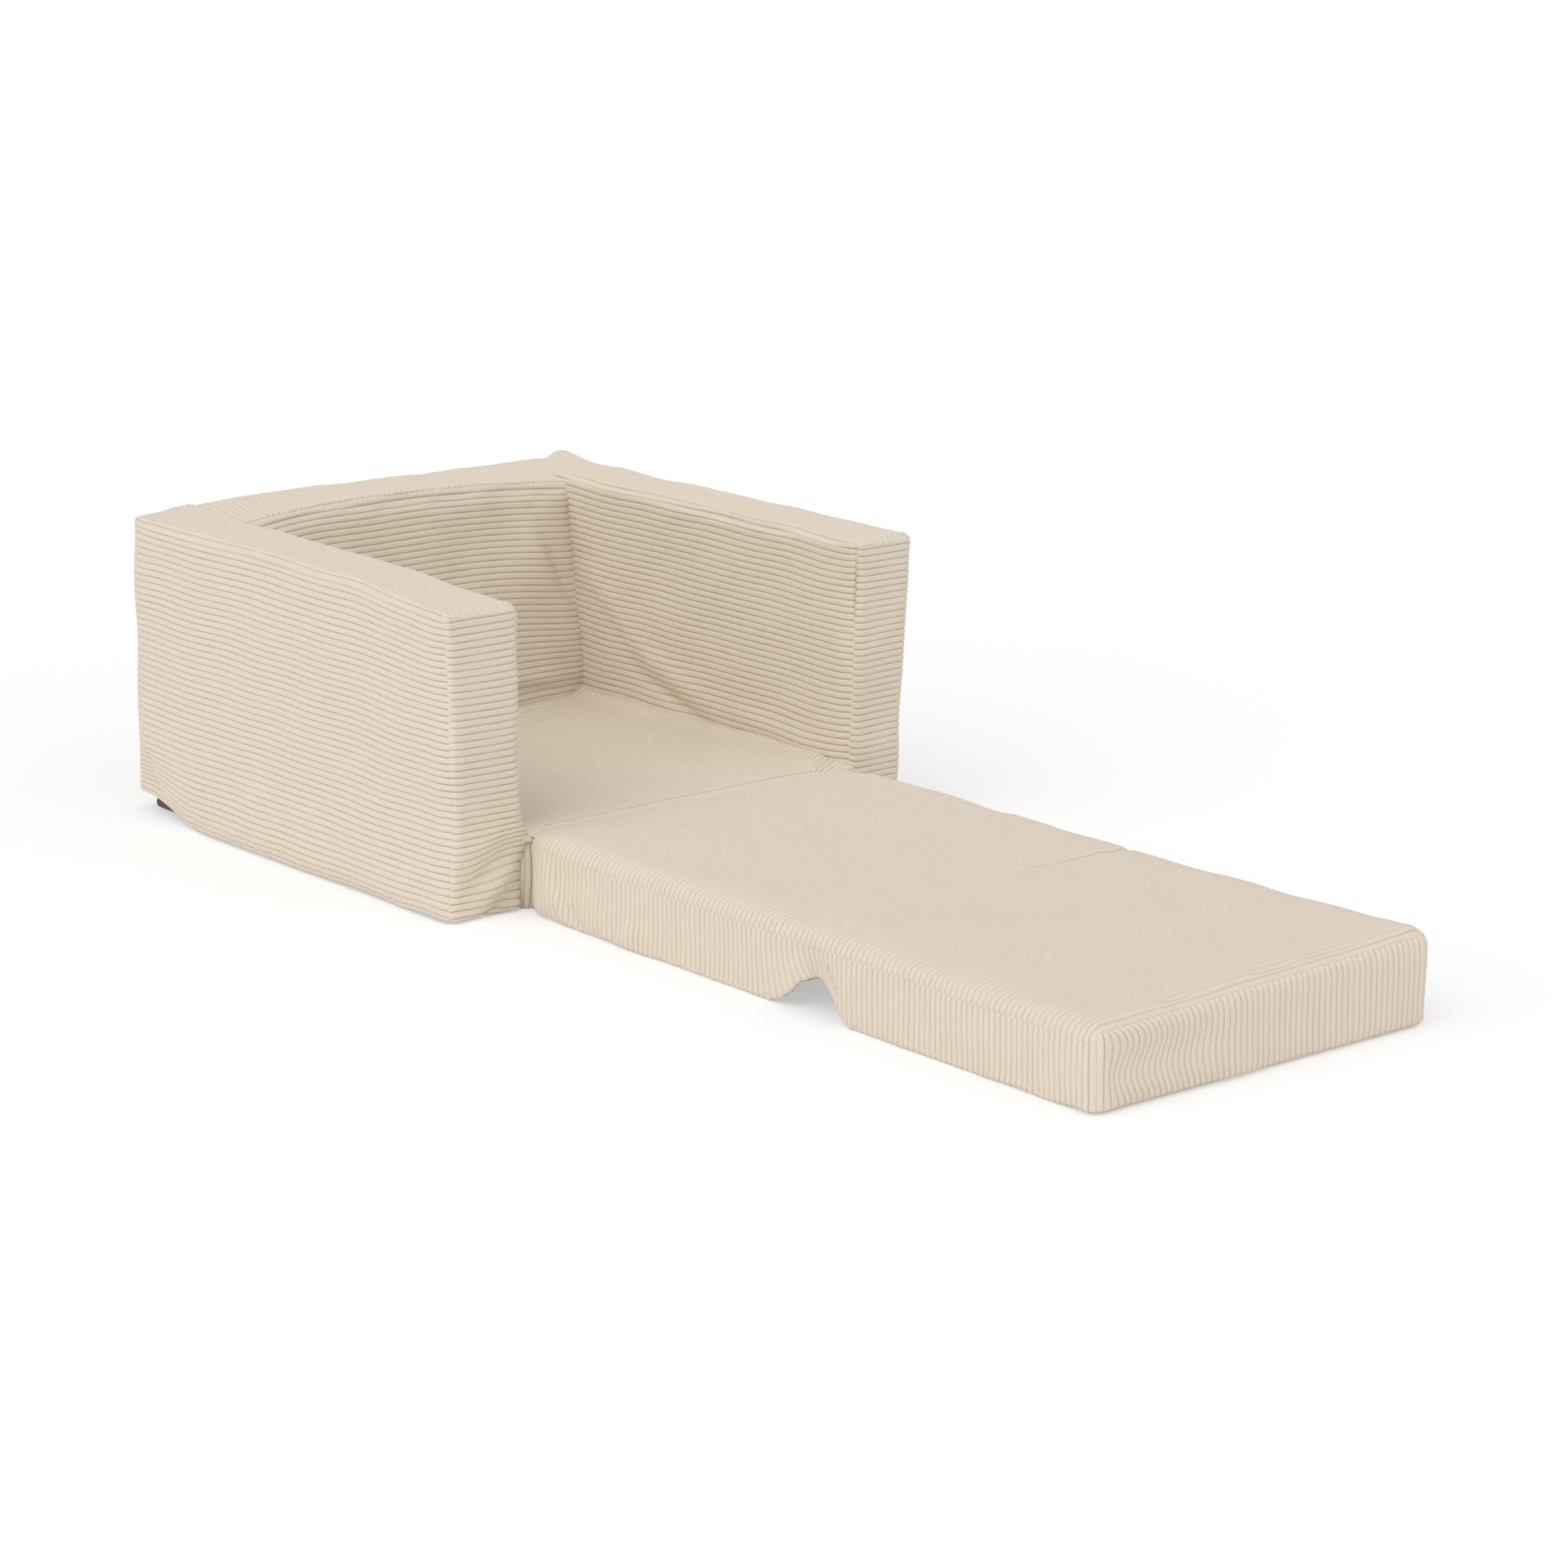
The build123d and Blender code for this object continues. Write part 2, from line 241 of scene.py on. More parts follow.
class Cage:
    """The outside of a block as a coarse net of points, kept in the order of a box's six sides."""

    def __init__(self, xs, ys, zs):
        shape = (len(xs), len(ys), len(zs))
        outside = np.ones(shape, bool)
        outside[1:-1, 1:-1, 1:-1] = False
        self.index = np.full(shape, -1)
        self.index[outside] = np.arange(outside.sum())
        self.points = np.stack(np.meshgrid(xs, ys, zs, indexing="ij"), axis=-1)[outside]
        self.low = self.points.min(axis=0)
        self.high = self.points.max(axis=0)
        self.centre = (self.low + self.high) / 2
        sides = (
            self.index[0].T, self.index[-1],
            self.index[:, 0], self.index[:, -1].T,
            self.index[:, :, 0].T, self.index[:, :, -1],
        )
        self.faces = np.concatenate([side_quads(side) for side in sides])

    def rounded(self, round_low, round_high, back_turn=1.0):
        """The points with edges pulled in onto rounds, each side with its own radius.

        A back turn over 1 brings the seams of the rear edges round onto the rear face.
        """
        round_low = np.array(round_low)
        round_high = np.array(round_high)
        inner = np.clip(self.points, self.low + round_low, self.high - round_high)
        radius = np.where(self.points < inner, round_low, round_high)
        share = (self.points - inner) / radius
        reach = np.abs(share).max(axis=1, keepdims=True)
        share[:, 1] *= np.where(share[:, 1] > 0, back_turn, 1)
        length = np.maximum(np.linalg.norm(share, axis=1, keepdims=True), 1e-9)
        return inner + share / length * reach * radius

    def puff(self, held, swell, pressure):
        """Blow the cover up against its filling, and stop each point within a short way."""
        mesh = bpy.data.meshes.new("stuffed_cover")
        mesh.from_pydata(self.points.tolist(), [], self.faces.tolist())
        cover = bpy.data.objects.new("stuffed_cover", mesh)
        bpy.context.scene.collection.objects.link(cover)
        group = cover.vertex_groups.new(name="held")
        group.add([int(i) for i in np.flatnonzero(held)], 1.0, "REPLACE")
        cloth = cover.modifiers.new("Cloth", "CLOTH")
        cloth.settings.quality = 6
        cloth.settings.mass = 0.3
        cloth.settings.use_pressure = True
        cloth.settings.uniform_pressure_force = pressure
        cloth.settings.shrink_min = -0.02
        cloth.settings.vertex_group_mass = "held"
        cloth.settings.effector_weights.gravity = 0
        cloth.collision_settings.use_collision = False
        cloth.point_cache.frame_start = 1
        cloth.point_cache.frame_end = PUFF_FRAMES
        scene = bpy.context.scene
        for step in range(1, PUFF_FRAMES + 1):
            scene.frame_set(step)
        puffed = cover.evaluated_get(bpy.context.evaluated_depsgraph_get()).to_mesh()
        grown = np.empty(len(self.points) * 3)
        puffed.vertices.foreach_get("co", grown)
        normals = np.array([vertex.normal[:] for vertex in mesh.vertices])
        moved = grown.reshape(-1, 3) - self.points
        out = (moved * normals).sum(axis=1, keepdims=True)
        along = moved - normals * out
        slid = np.linalg.norm(along, axis=1, keepdims=True)
        out = np.where(out > 0, swell * np.tanh(out / swell), FOAM_GIVE * np.tanh(out / FOAM_GIVE))
        along *= FOAM_GIVE * np.tanh(slid / FOAM_GIVE) / np.maximum(slid, 1e-9)
        self.points = self.points + normals * out + along
        bpy.data.objects.remove(cover)
        bpy.data.meshes.remove(mesh)
        scene.frame_set(1)


# Corduroy: fine ribbed grids laid over the cages

# How far a panel's edge runs in under the next one, at a plain seam and at an arm's front
SEAM_LAP = 0.0014
FRONT_LAP = 0.0030

# Lowest that any cloth lies
FLOOR_GAP = 0.0003

# Shares by which seams and grooves vary in depth, by which grooves deepen beside a seam, and by which the
# ribs' colour beside a seam takes the grooves' painted shade
SEAM_PUCKER = 0.2
GROOVE_VARIES = 0.15
GROOVE_DEEPENS = 0.4
SEAM_SHADE_SHARE = 0.85

# How far from a seam its grooves are deeper, its ribs run straight and its ribs' colour takes the grooves'
# painted shade
DEEPENS_OVER = 0.006
STRAIGHT_OVER = 0.01
SEAM_SHADE_OVER = 0.0026


def unit(vectors):
    """Vectors made one long."""
    return vectors / np.maximum(np.linalg.norm(vectors, axis=-1, keepdims=True), 1e-12)


def arc_lengths(coarse, axis):
    """Mean running length along one direction of a net of points."""
    steps = np.linalg.norm(np.diff(coarse, axis=axis), axis=2).mean(axis=1 - axis)
    return np.concatenate([[0], np.cumsum(steps)])


def spline_weights(knots, stations):
    """Weights that read smooth in-between points off a row of knots."""
    count = len(knots)
    slope = np.zeros((count, count))
    for i in range(count):
        before = max(i - 1, 0)
        after = min(i + 1, count - 1)
        gap = knots[after] - knots[before]
        slope[i, after] += 1 / gap
        slope[i, before] -= 1 / gap
    first = np.clip(np.searchsorted(knots, stations, side="right") - 1, 0, count - 2)
    gap = knots[first + 1] - knots[first]
    t = (np.clip(stations, knots[0], knots[-1]) - knots[first]) / gap
    rows = np.arange(len(stations))
    weights = np.zeros((len(stations), count))
    weights[rows, first] += 2 * t**3 - 3 * t**2 + 1
    weights[rows, first + 1] += 3 * t**2 - 2 * t**3
    weights += ((t**3 - 2 * t**2 + t) * gap)[:, None] * slope[first]
    weights += ((t**3 - t**2) * gap)[:, None] * slope[first + 1]
    return weights


def rib_stations(length, pitch):
    """Places across the ribs, and how high each stands between groove and crest."""
    count = max(1, round(length / pitch))
    within = np.array([0, 0.06, 0.13, 0.30, 0.70, 0.87, 0.94])
    risen = np.array([0, 0.52, 0.86, 1.0, 1.0, 0.86, 0.52])
    share = np.concatenate([np.tile(within, count), [0]])
    turns = np.concatenate([np.repeat(np.arange(count), len(within)), [count]])
    height = np.concatenate([np.tile(risen, count), [0]])
    return (turns + share) * length / count, height


def edge_stations(length, stops, step):
    """Places along the ribs, close together where the cloth turns in at its ends."""
    margin = np.array([0, 0.0007, 0.0016, 0.0028, 0.0045])
    inset = margin[-1]
    count = max(2, round((length - 2 * inset) / step))
    middle = np.linspace(inset, length - inset, count + 1)[1:-1]
    return np.unique(np.concatenate([margin, middle, stops, length - margin]))


class Corduroy:
    """Corduroy laid over a net of points: its first direction runs across the ribs."""

    def __init__(self, coarse, centre, cover, stops=(), step=0.009, wander=0.0007, pinch=1.0):
        rows = arc_lengths(coarse, 0)
        columns = arc_lengths(coarse, 1)
        self.cover = cover
        self.wander = wander
        self.pinch = pinch
        self.centre = np.array(centre)
        self.across, self.nap = rib_stations(rows[-1], cover.rib_pitch)
        self.along = edge_stations(columns[-1], stops, step)
        place = np.tensordot(spline_weights(rows, self.across), coarse, axes=(1, 0))
        place = np.tensordot(place, spline_weights(columns, self.along), axes=(1, 1))
        self.place = place.transpose(0, 2, 1)

    def xyz(self):
        """The coordinates of its points, axis by axis."""
        return np.moveaxis(self.place, -1, 0)

    def shift(self, direction, amount):
        """Move each point its own amount in a direction."""
        self.place = self.place + np.array(direction) * amount[..., None]

    def outward(self):
        """Directions square to the cloth, away from the filling."""
        normal = unit(np.cross(np.gradient(self.place, axis=0), np.gradient(self.place, axis=1)))
        self.turned = ((self.place - self.centre) * normal).sum() < 0
        return -normal if self.turned else normal

    def fold(self, *marks):
        """Raise or sink soft folds: each mark has two ends, a width and a rise."""
        normal = self.outward()
        lift = np.zeros(self.place.shape[:2])
        for start, end, width, rise in marks:
            start = np.array(start)
            run = np.array(end) - start
            t = np.clip(((self.place - start) @ run) / (run @ run), 0, 1)
            gap = np.linalg.norm(self.place - start - t[..., None] * run, axis=2)
            taper = 0.3 + 0.7 * np.sin(math.pi * np.clip(t, 0.05, 0.95))
            lift += rise * taper * bell(gap, 0, width)
        self.shift(normal, lift)

    def ripple(self, size, length, seed):
        """Uneven the cloth a little all over."""
        self.shift(self.outward(), size * waves(self.place, length, seed))

    def groove_near(self, y):
        """The row of the groove that lies nearest a place along Y."""
        rows = np.flatnonzero(self.nap == 0)
        return int(rows[np.argmin(np.abs(self.place[rows, :, 1].mean(axis=1) - y))])

    def panel(self, name, rows=(0, None), seams=(True, True, True, True), hole=None):
        """Sew a panel: ribs raised, edges turned in at its seams, closed with a backing.

        A seam is True, False where the edge isn't sewn, or a longer lap under the next panel.
        """
        cover = self.cover
        cut = slice(rows[0], None if rows[1] is None else rows[1] + 1)
        normal = self.outward()[cut]
        place = self.place[cut]
        across = self.across[cut]
        near = np.full(place.shape[:2], 1.0)
        lap = np.zeros(place.shape)
        sideways, lengthways = (unit(np.gradient(place, axis=axis)) for axis in (0, 1))
        borders = (
            ((across - across[0])[:, None], -sideways),
            ((across[-1] - across)[:, None], sideways),
            (self.along[None, :], -lengthways),
            ((self.along[-1] - self.along)[None, :], lengthways),
        )
        for sewn, (distance, away) in zip(seams, borders):
            if sewn:
                near = np.minimum(near, distance)
                reach = SEAM_LAP if sewn is True else sewn
                lap += away * (reach * np.clip(1 - distance / cover.seam_width, 0, 1) ** 3)[..., None]
        slack = np.clip(1 - near / cover.seam_width, 0, 1)
        pucker = 1 + SEAM_PUCKER * waves(place, length=0.014, seed=13)
        depth = self.pinch * cover.seam_depth * pucker * (1 - np.sqrt(1 - slack**2))
        uneven = 1 + GROOVE_VARIES * waves(place, length=0.03, seed=11)
        deeper = uneven + GROOVE_DEEPENS * np.exp(-near / DEEPENS_OVER)
        height = cover.rib_height * (self.nap[cut][:, None] - 1) * deeper - depth
        drift = self.wander * waves(place, length=0.13, seed=5) * ramp(near, 0, STRAIGHT_OVER)
        place = place + normal * height[..., None] + sideways * drift[..., None] + lap
        place[..., 2] = np.maximum(place[..., 2], FLOOR_GAP)
        quads = side_quads(np.arange(place[..., 0].size).reshape(place.shape[:2]))
        if hole is not None:
            quads = quads[~hole(place.reshape(-1, 3)[quads].mean(axis=1))]
        if self.turned:
            quads = quads[:, ::-1]
        # Painted shade along seams: beside a seam the ribs' height kept for the colour is lowered towards the
        # groove, while the raised ribs stay as they are
        nap = self.nap[cut][:, None] * (1 - SEAM_SHADE_SHARE * self.pinch * smooth(1 - near / SEAM_SHADE_OVER))
        flat = np.stack(np.broadcast_arrays(self.along[None, :], across[:, None]), axis=-1)
        panel = cloth_object(name, place.reshape(-1, 3), quads, nap.ravel(), flat.reshape(-1, 2))
        add_backing(panel, cover.cloth_thickness)
        return panel


def net_object(name, points, quads):
    """A smooth mesh of some faces, with the points that they use and their corners among those."""
    used, corners = np.unique(quads, return_inverse=True)
    mesh = bpy.data.meshes.new(name)
    mesh.from_pydata(points[used].tolist(), [], corners.reshape(-1, 4).tolist())
    mesh.shade_smooth()
    made = bpy.data.objects.new(name, mesh)
    bpy.context.scene.collection.objects.link(made)
    return made, used, corners.ravel()


def cloth_object(name, points, quads, nap, flat):
    """A cloth mesh with the height of its ribs, which sets the painted shade of its grooves and seams, and
    its flat pattern kept on it.
    """
    panel, used, corners = net_object(name, points, quads)
    attribute = panel.data.attributes.new("nap", "FLOAT", "POINT")
    attribute.data.foreach_set("value", nap[used].astype(np.float32))
    pattern = panel.data.uv_layers.new(name="ribs")
    pattern.data.foreach_set("uv", flat[used][corners].ravel().astype(np.float32))
    return panel


def pick(piece):
    """Select one piece alone."""
    bpy.ops.object.select_all(action="DESELECT")
    piece.select_set(True)
    bpy.context.view_layer.objects.active = piece


def add_backing(piece, thickness):
    """Give a cloth its thickness, inwards."""
    pick(piece)
    backing = piece.modifiers.new("Backing", "SOLIDIFY")
    backing.thickness = thickness
    backing.offset = -1
    bpy.ops.object.modifier_apply(modifier=backing.name)


def dress(piece, body, slot, node):
    """Put a stuffed piece on its body, in place of the solid that it stands for."""
    piece.data.materials.append(bpy.data.materials[slot])
    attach(piece, body)
    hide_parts(node)


def sew(cloth, body, name, node, **sewing):
    """Sew a panel of corduroy and put it on its body."""
    dress(cloth.panel(name, **sewing), body, "corduroy", node)


def bend(piece, node=None):
    """Give a piece of cloth over a fold the corduroy finish, bake its placement into its mesh, and hide its
    solid if one is named.
    """
    piece.data.materials.append(bpy.data.materials["corduroy"])
    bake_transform(piece)
    if node:
        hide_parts(node)


# Materials


def add_node(tree, kind, settings=None, inputs=None, links=None):
    """Add a shader node, set it up and link it."""
    node = tree.nodes.new(kind)
    for key, value in (settings or {}).items():
        setattr(node, key, value)
    for key, value in (inputs or {}).items():
        node.inputs[key].default_value = value
    for key, source in (links or {}).items():
        tree.links.new(source, node.inputs[key])
    return node


def new_material(name):
    """An empty material's node tree."""
    material = bpy.data.materials.new(name)
    material.use_nodes = True
    material.node_tree.nodes.clear()
    return material.node_tree


# Places of the sockets of a Mix node that mixes colours
MIX_SHARE, MIX_LOW, MIX_HIGH, MIX_COLOUR = 0, 6, 7, 2

# The middle of a noise, where nearly all of it lies
NOISE_RANGE = (0.3, 0.7)


def object_spot(tree):
    """Places on the object itself."""
    return add_node(tree, "ShaderNodeTexCoord").outputs["Object"]


def noise(tree, spot, scale, detail, roughness=0.5):
    """Cloudy values between 0 and 1."""
    looks = {"Scale": scale, "Detail": detail, "Roughness": roughness}
    return add_node(tree, "ShaderNodeTexNoise", {}, looks, {"Vector": spot}).outputs["Fac"]


def remap(tree, value, source, target=(0, 1), curve="LINEAR"):
    """A value carried from one range to another."""
    ends = dict(zip(("From Min", "From Max", "To Min", "To Max"), (*source, *target)))
    node = add_node(tree, "ShaderNodeMapRange", {"interpolation_type": curve}, ends, {"Value": value})
    return node.outputs["Result"]


def combine(tree, operation, first, second):
    """Two values worked into one."""
    links = {0: first, 1: second}
    return add_node(tree, "ShaderNodeMath", {"operation": operation}, {}, links).outputs["Value"]


def toned(colour, share):
    """A colour made darker or lighter."""
    return [min(1, share * part) for part in colour]


def mix_colour(tree, share, low, high):
    """A colour between two others."""
    ends = {MIX_LOW: (*low, 1), MIX_HIGH: (*high, 1)}
    node = add_node(tree, "ShaderNodeMix", {"data_type": "RGBA"}, ends, {MIX_SHARE: share})
    return node.outputs[MIX_COLOUR]


def bumped(tree, height, strength, distance):
    """Directions of a surface roughened by a height."""
    looks = {"Strength": strength, "Distance": distance}
    return add_node(tree, "ShaderNodeBump", {}, looks, {"Height": height}).outputs["Normal"]


def surface(tree, looks, links):
    """Close a material with its surface."""
    skin = add_node(tree, "ShaderNodeBsdfPrincipled", {}, looks, links)
    add_node(tree, "ShaderNodeOutputMaterial", {}, {}, {"Surface": skin.outputs["BSDF"]})


def finish_corduroy(cover):
    """Cream pile on ribs: streaks along the ribs, tufts, painted shade in the grooves and a soft sheen."""
    tree = new_material("corduroy")
    flat = add_node(tree, "ShaderNodeUVMap", {"uv_map": "ribs"}).outputs["UV"]
    nap = add_node(tree, "ShaderNodeAttribute", {"attribute_name": "nap"}).outputs["Fac"]
    spot = object_spot(tree)
    along = add_node(tree, "ShaderNodeMapping", {}, {"Scale": (110, 520, 1)}, {"Vector": flat})
    streaks = noise(tree, along.outputs["Vector"], scale=1.0, detail=3.0, roughness=0.6)
    tufts = noise(tree, spot, scale=900.0, detail=2.0, roughness=0.65)
    clouds = noise(tree, spot, scale=14.0, detail=2.0)
    # Painted shade: the ribs' height mixes the crest colour down to the groove colour's painted shade
    rise = remap(tree, nap, (0.1, 0.95), curve="SMOOTHSTEP")
    pile = mix_colour(tree, rise, cover.groove_shade_colour, cover.crest_colour)
    streak_shade = remap(tree, streaks, NOISE_RANGE, (0.93, 1.04))
    tuft_shade = remap(tree, tufts, NOISE_RANGE, (0.94, 1.04))
    cloud_shade = remap(tree, clouds, NOISE_RANGE, (0.975, 1.015))
    shade = combine(tree, "MULTIPLY", combine(tree, "MULTIPLY", streak_shade, tuft_shade), cloud_shade)
    colour = add_node(tree, "ShaderNodeVectorMath", {"operation": "SCALE"}, {}, {0: pile, "Scale": shade})
    fuzz = bumped(tree, combine(tree, "ADD", streaks, tufts), strength=0.45, distance=0.0005)
    looks = {
        "Roughness": 0.95, "Specular IOR Level": 0.12,
        "Sheen Weight": 0.22, "Sheen Roughness": 0.5, "Sheen Tint": (*cover.crest_colour, 1),
    }
    surface(tree, looks, {"Base Color": colour.outputs["Vector"], "Normal": fuzz})


def finish_foam(cover):
    """Pale open-cell foam: small pits and a slightly uneven tone."""
    tree = new_material("foam")
    spot = object_spot(tree)
    cells = add_node(tree, "ShaderNodeTexVoronoi", {}, {"Scale": 600.0}, {"Vector": spot})
    clouds = noise(tree, spot, scale=40.0, detail=4.0)
    tone = mix_colour(tree, clouds, toned(cover.foam_colour, 0.82), cover.foam_colour)
    pits = bumped(tree, cells.outputs["Distance"], strength=0.6, distance=0.0008)
    surface(tree, {"Roughness": 0.9, "Specular IOR Level": 0.2}, {"Base Color": tone, "Normal": pits})


def finish_woven(name, colour, threads_per_metre, roughness):
    """A plain weave: threads over and under, with a little unevenness."""
    tree = new_material(name)
    spot = object_spot(tree)
    looks = {"Scale": threads_per_metre / 20, "Distortion": 0.6, "Detail": 1.0}
    warp, weft = (
        add_node(tree, "ShaderNodeTexWave", {"bands_direction": way}, looks, {"Vector": spot}).outputs["Fac"]
        for way in ("X", "DIAGONAL")
    )
    threads = combine(tree, "MULTIPLY", warp, weft)
    worn = combine(tree, "ADD", threads, noise(tree, spot, scale=160.0, detail=3.0))
    tone = mix_colour(tree, remap(tree, worn, (0.2, 1.5)), toned(colour, 0.7), toned(colour, 1.15))
    bump = bumped(tree, threads, strength=0.5, distance=0.0003)
    surface(tree, {"Roughness": roughness, "Specular IOR Level": 0.2}, {"Base Color": tone, "Normal": bump})


def finish_moulded(name, colour, roughness, metallic):
    """A smooth moulded or lacquered finish with faint scuffs."""
    tree = new_material(name)
    scuffs = noise(tree, object_spot(tree), scale=500.0, detail=4.0, roughness=0.7)
    tone = mix_colour(tree, scuffs, toned(colour, 0.88), colour)
    gloss = remap(tree, scuffs, (0, 1), (roughness - 0.08, roughness + 0.08))
    surface(tree, {"Metallic": metallic}, {"Base Color": tone, "Roughness": gloss})


class ARMCHAIR_OT_finishes(bpy.types.Operator):
    """Make the corduroy, foam, base cloth and zip finishes"""

    bl_idname = "armchair.finishes"
    bl_label = "Finishes"

    def execute(self, context):
        cover = context.scene.armchair_cover
        finish_corduroy(cover)
        finish_foam(cover)
        finish_woven("base_cloth", cover.base_cloth_colour, 900, 0.9)
        finish_woven("zip_tape", cover.zip_tape_colour, 1600, 0.8)
        finish_moulded("zip_coil", cover.zip_coil_colour, 0.45, 0.0)
        finish_moulded("zip_metal", cover.zip_metal_colour, 0.4, 0.35)
        return {"FINISHED"}


# Arms

SHELL_HALF = 0.265
HEM_HEIGHT = 0.0008

# How far the arms and the back run on behind the solids, and how far round their rear seams lie
REAR_LAP = 0.0055
REAR_TURN = 3.0

# Unevenness of the arm covers: size, wavelength and seed
ARM_RIPPLE = (0.0007, 0.09, 21)

# How far the front of each arm stands outwards at its foot and at its top
ARM_LEAN = {"left": (-0.002, 0.0045), "right": (-0.003, 0.0110)}

# Radii of an arm's edges, at the low and the high end of each axis
ARM_ROUNDS = {
    "upright": ((0.009, 0.016, 0.003), (0.009, 0.020, 0.009)),
    "upright_front": ((0.009, 0.016, 0.003), (0.006, 0.020, 0.009)),
    "square": ((0.004, 0.006, 0.003), (0.004, 0.012, 0.005)),
    "soft": ((0.011, 0.006, 0.003), (0.011, 0.012, 0.011)),
    "round_top": ((0.012, 0.016, 0.003), (0.012, 0.012, 0.007)),
    "joined": ((0.002, 0.016, 0.003), (0.002, 0.012, 0.002)),
}

# Folds in the arm covers: two ends, a width and a rise
WRAP_FOLDS = {
    "left": (
        ((-0.265, 0.500, 0.085), (-0.265, 0.430, 0.012), 0.011, -0.0018),
        ((-0.265, 0.470, 0.090), (-0.265, 0.400, 0.016), 0.012, 0.0016),
        ((-0.265, 0.340, 0.075), (-0.265, 0.260, 0.012), 0.013, -0.0016),
        ((-0.265, 0.210, 0.085), (-0.265, 0.130, 0.030), 0.013, 0.0018),
    ),
    "right": (
        ((0.194, 0.530, 0.198), (0.194, 0.420, 0.112), 0.014, 0.0022),
        ((0.194, 0.515, 0.172), (0.194, 0.410, 0.092), 0.010, -0.0020),
        ((0.194, 0.450, 0.132), (0.194, 0.318, 0.090), 0.012, 0.0042),
        ((0.194, 0.440, 0.104), (0.194, 0.318, 0.070), 0.007, -0.0040),
        ((0.194, 0.300, 0.092), (0.194, 0.140, 0.082), 0.011, 0.0034),
    ),
}
FRONT_FOLDS = {
    "left": (
        ((-0.250, 0.110, 0.062), (-0.205, 0.110, 0.078), 0.010, 0.0036),
        ((-0.246, 0.110, 0.030), (-0.205, 0.110, 0.056), 0.008, -0.0048),
        ((-0.240, 0.110, 0.012), (-0.202, 0.110, 0.040), 0.009, 0.0044),
        ((-0.228, 0.110, 0.000), (-0.200, 0.110, 0.018), 0.008, -0.0048),
    ),
    "right": (
        ((0.200, 0.110, 0.095), (0.255, 0.110, 0.082), 0.012, 0.0016),
        ((0.205, 0.110, 0.060), (0.262, 0.110, 0.045), 0.012, -0.0016),
    ),
}


def top_rise(place):
    """How far the soft tops stand over the solids: least at the left arm's front, most at the back left."""
    x, y, _ = np.moveaxis(place, -1, 0)
    across = (x + SHELL_HALF) / (2 * SHELL_HALF)
    back = ramp(y, 0.50, 0.12) * ramp(across, 0, 0.15)
    hump = 1 + bell(x, -0.08, 0.10)
    left = 0.0105 * ramp(y, 0.11, 0.16) - 0.0005 - 0.002 * ramp(y, 0.45, 0.15)
    return left * (1 - across) + 0.0045 * across + 0.0025 * back * hump


def arm_cage(side_name, side, cover):
    """One arm as a stuffed block: square at its front top, rounder elsewhere, and leaning a little."""
    low, high = hull(side_name + "_arm_wrap", side_name + "_arm_front_panel")
    start = 0.5 * cover.arm_swell
    cage = Cage(
        spaced(low[0] + start, high[0] - start, 0.010, 0.012, 0.012),
        spaced(low[1] + start, high[1] + REAR_LAP, 0.0105, 0.016, 0.020),
        spaced(HEM_HEIGHT, high[2] - start, 0.010, 0.004, 0.011),
    )
    x, y, z = cage.points.T
    right_half = smooth((x - cage.centre[0]) / 0.02 + 0.5)
    front = ramp(y, low[1] + 0.10, -0.06)
    edges = {name: cage.rounded(*radii, REAR_TURN) for name, radii in ARM_ROUNDS.items()}
    beside_back = ramp(y, 0.545, 0.02) * (side * (x - cage.centre[0]) < 0)
    top = mix(edges["square"], edges["soft"], right_half)
    top = mix(top, edges["round_top"], smooth((y - low[1] - 0.01) / 0.035))
    top = mix(top, edges["joined"], beside_back)
    upright = mix(edges["upright"], edges["upright_front"], front)
    points = mix(upright, top, smooth((z - high[2] + 0.04) / 0.03))
    rise = points[:, 2] / high[2]
    points[:, 2] += top_rise(points) * rise**2
    ahead = (high[1] - points[:, 1]) / (high[1] - low[1])
    foot, head = ARM_LEAN[side_name]
    points[:, 0] += side * (foot + (head - foot) * rise) * ahead
    outer_half = right_half if side > 0 else 1 - right_half
    rear_spread = 0.004 + 0.003 * (1 - rise)
    points[:, 0] += side * rear_spread * outer_half * smooth(1 - ahead)
    if side_name == "left":
        flare = 0.008 * smooth(1 - points[:, 2] / 0.10) * ramp(points[:, 1], 0.62, -0.15)
        points[:, 0] -= flare * outer_half
        front_spread = (0.011 + 0.0055 * rise) * ahead**6
        bow = 0.004 * rise**3 * np.sin(math.pi * ahead)
        points[:, 0] += right_half * (front_spread + bow)
    else:
        top_lean = 0.005 * right_half * rise**2 * ahead
        rear_pinch = 0.002 * (1 - right_half) * rise**2 * ramp(ahead, 0.3, -0.3)
        points[:, 0] += top_lean
        points[:, 0] -= rear_pinch
    cage.points = points
    held = (points[:, 2] < 0.003) | (points[:, 1] > high[1] - 0.008)
    cage.puff(held, cover.arm_swell, cover.fill_pressure)
    return cage


def push_nub(cloth):
    """Bulge the left arm's inner front edge out where the seat fold is sewn to it."""
    x, y, z = cloth.xyz()
    cloth.shift((0.010, -0.002, 0), bell(z, 0.066, 0.012) * ramp(x, -0.215, 0.02) * ramp(y, 0.130, -0.016))


def drag_front(cloth):
    """Pull the lower ribs of the left arm's front up towards the seat fold."""
    x, _, z = cloth.xyz()
    cloth.shift((0, 0, 1), 0.011 * bell(z, 0.048, 0.024) * ramp(x, -0.250, 0.055))


def arm_strip(cage, side):
    """Net of the arm's outer face, top and inner face in one run."""
    index = cage.index if side < 0 else cage.index[::-1]
    rows = np.concatenate([index[0].T, index[1:, :, -1], index[-1].T[-2::-1]])
    return cage.points[rows]


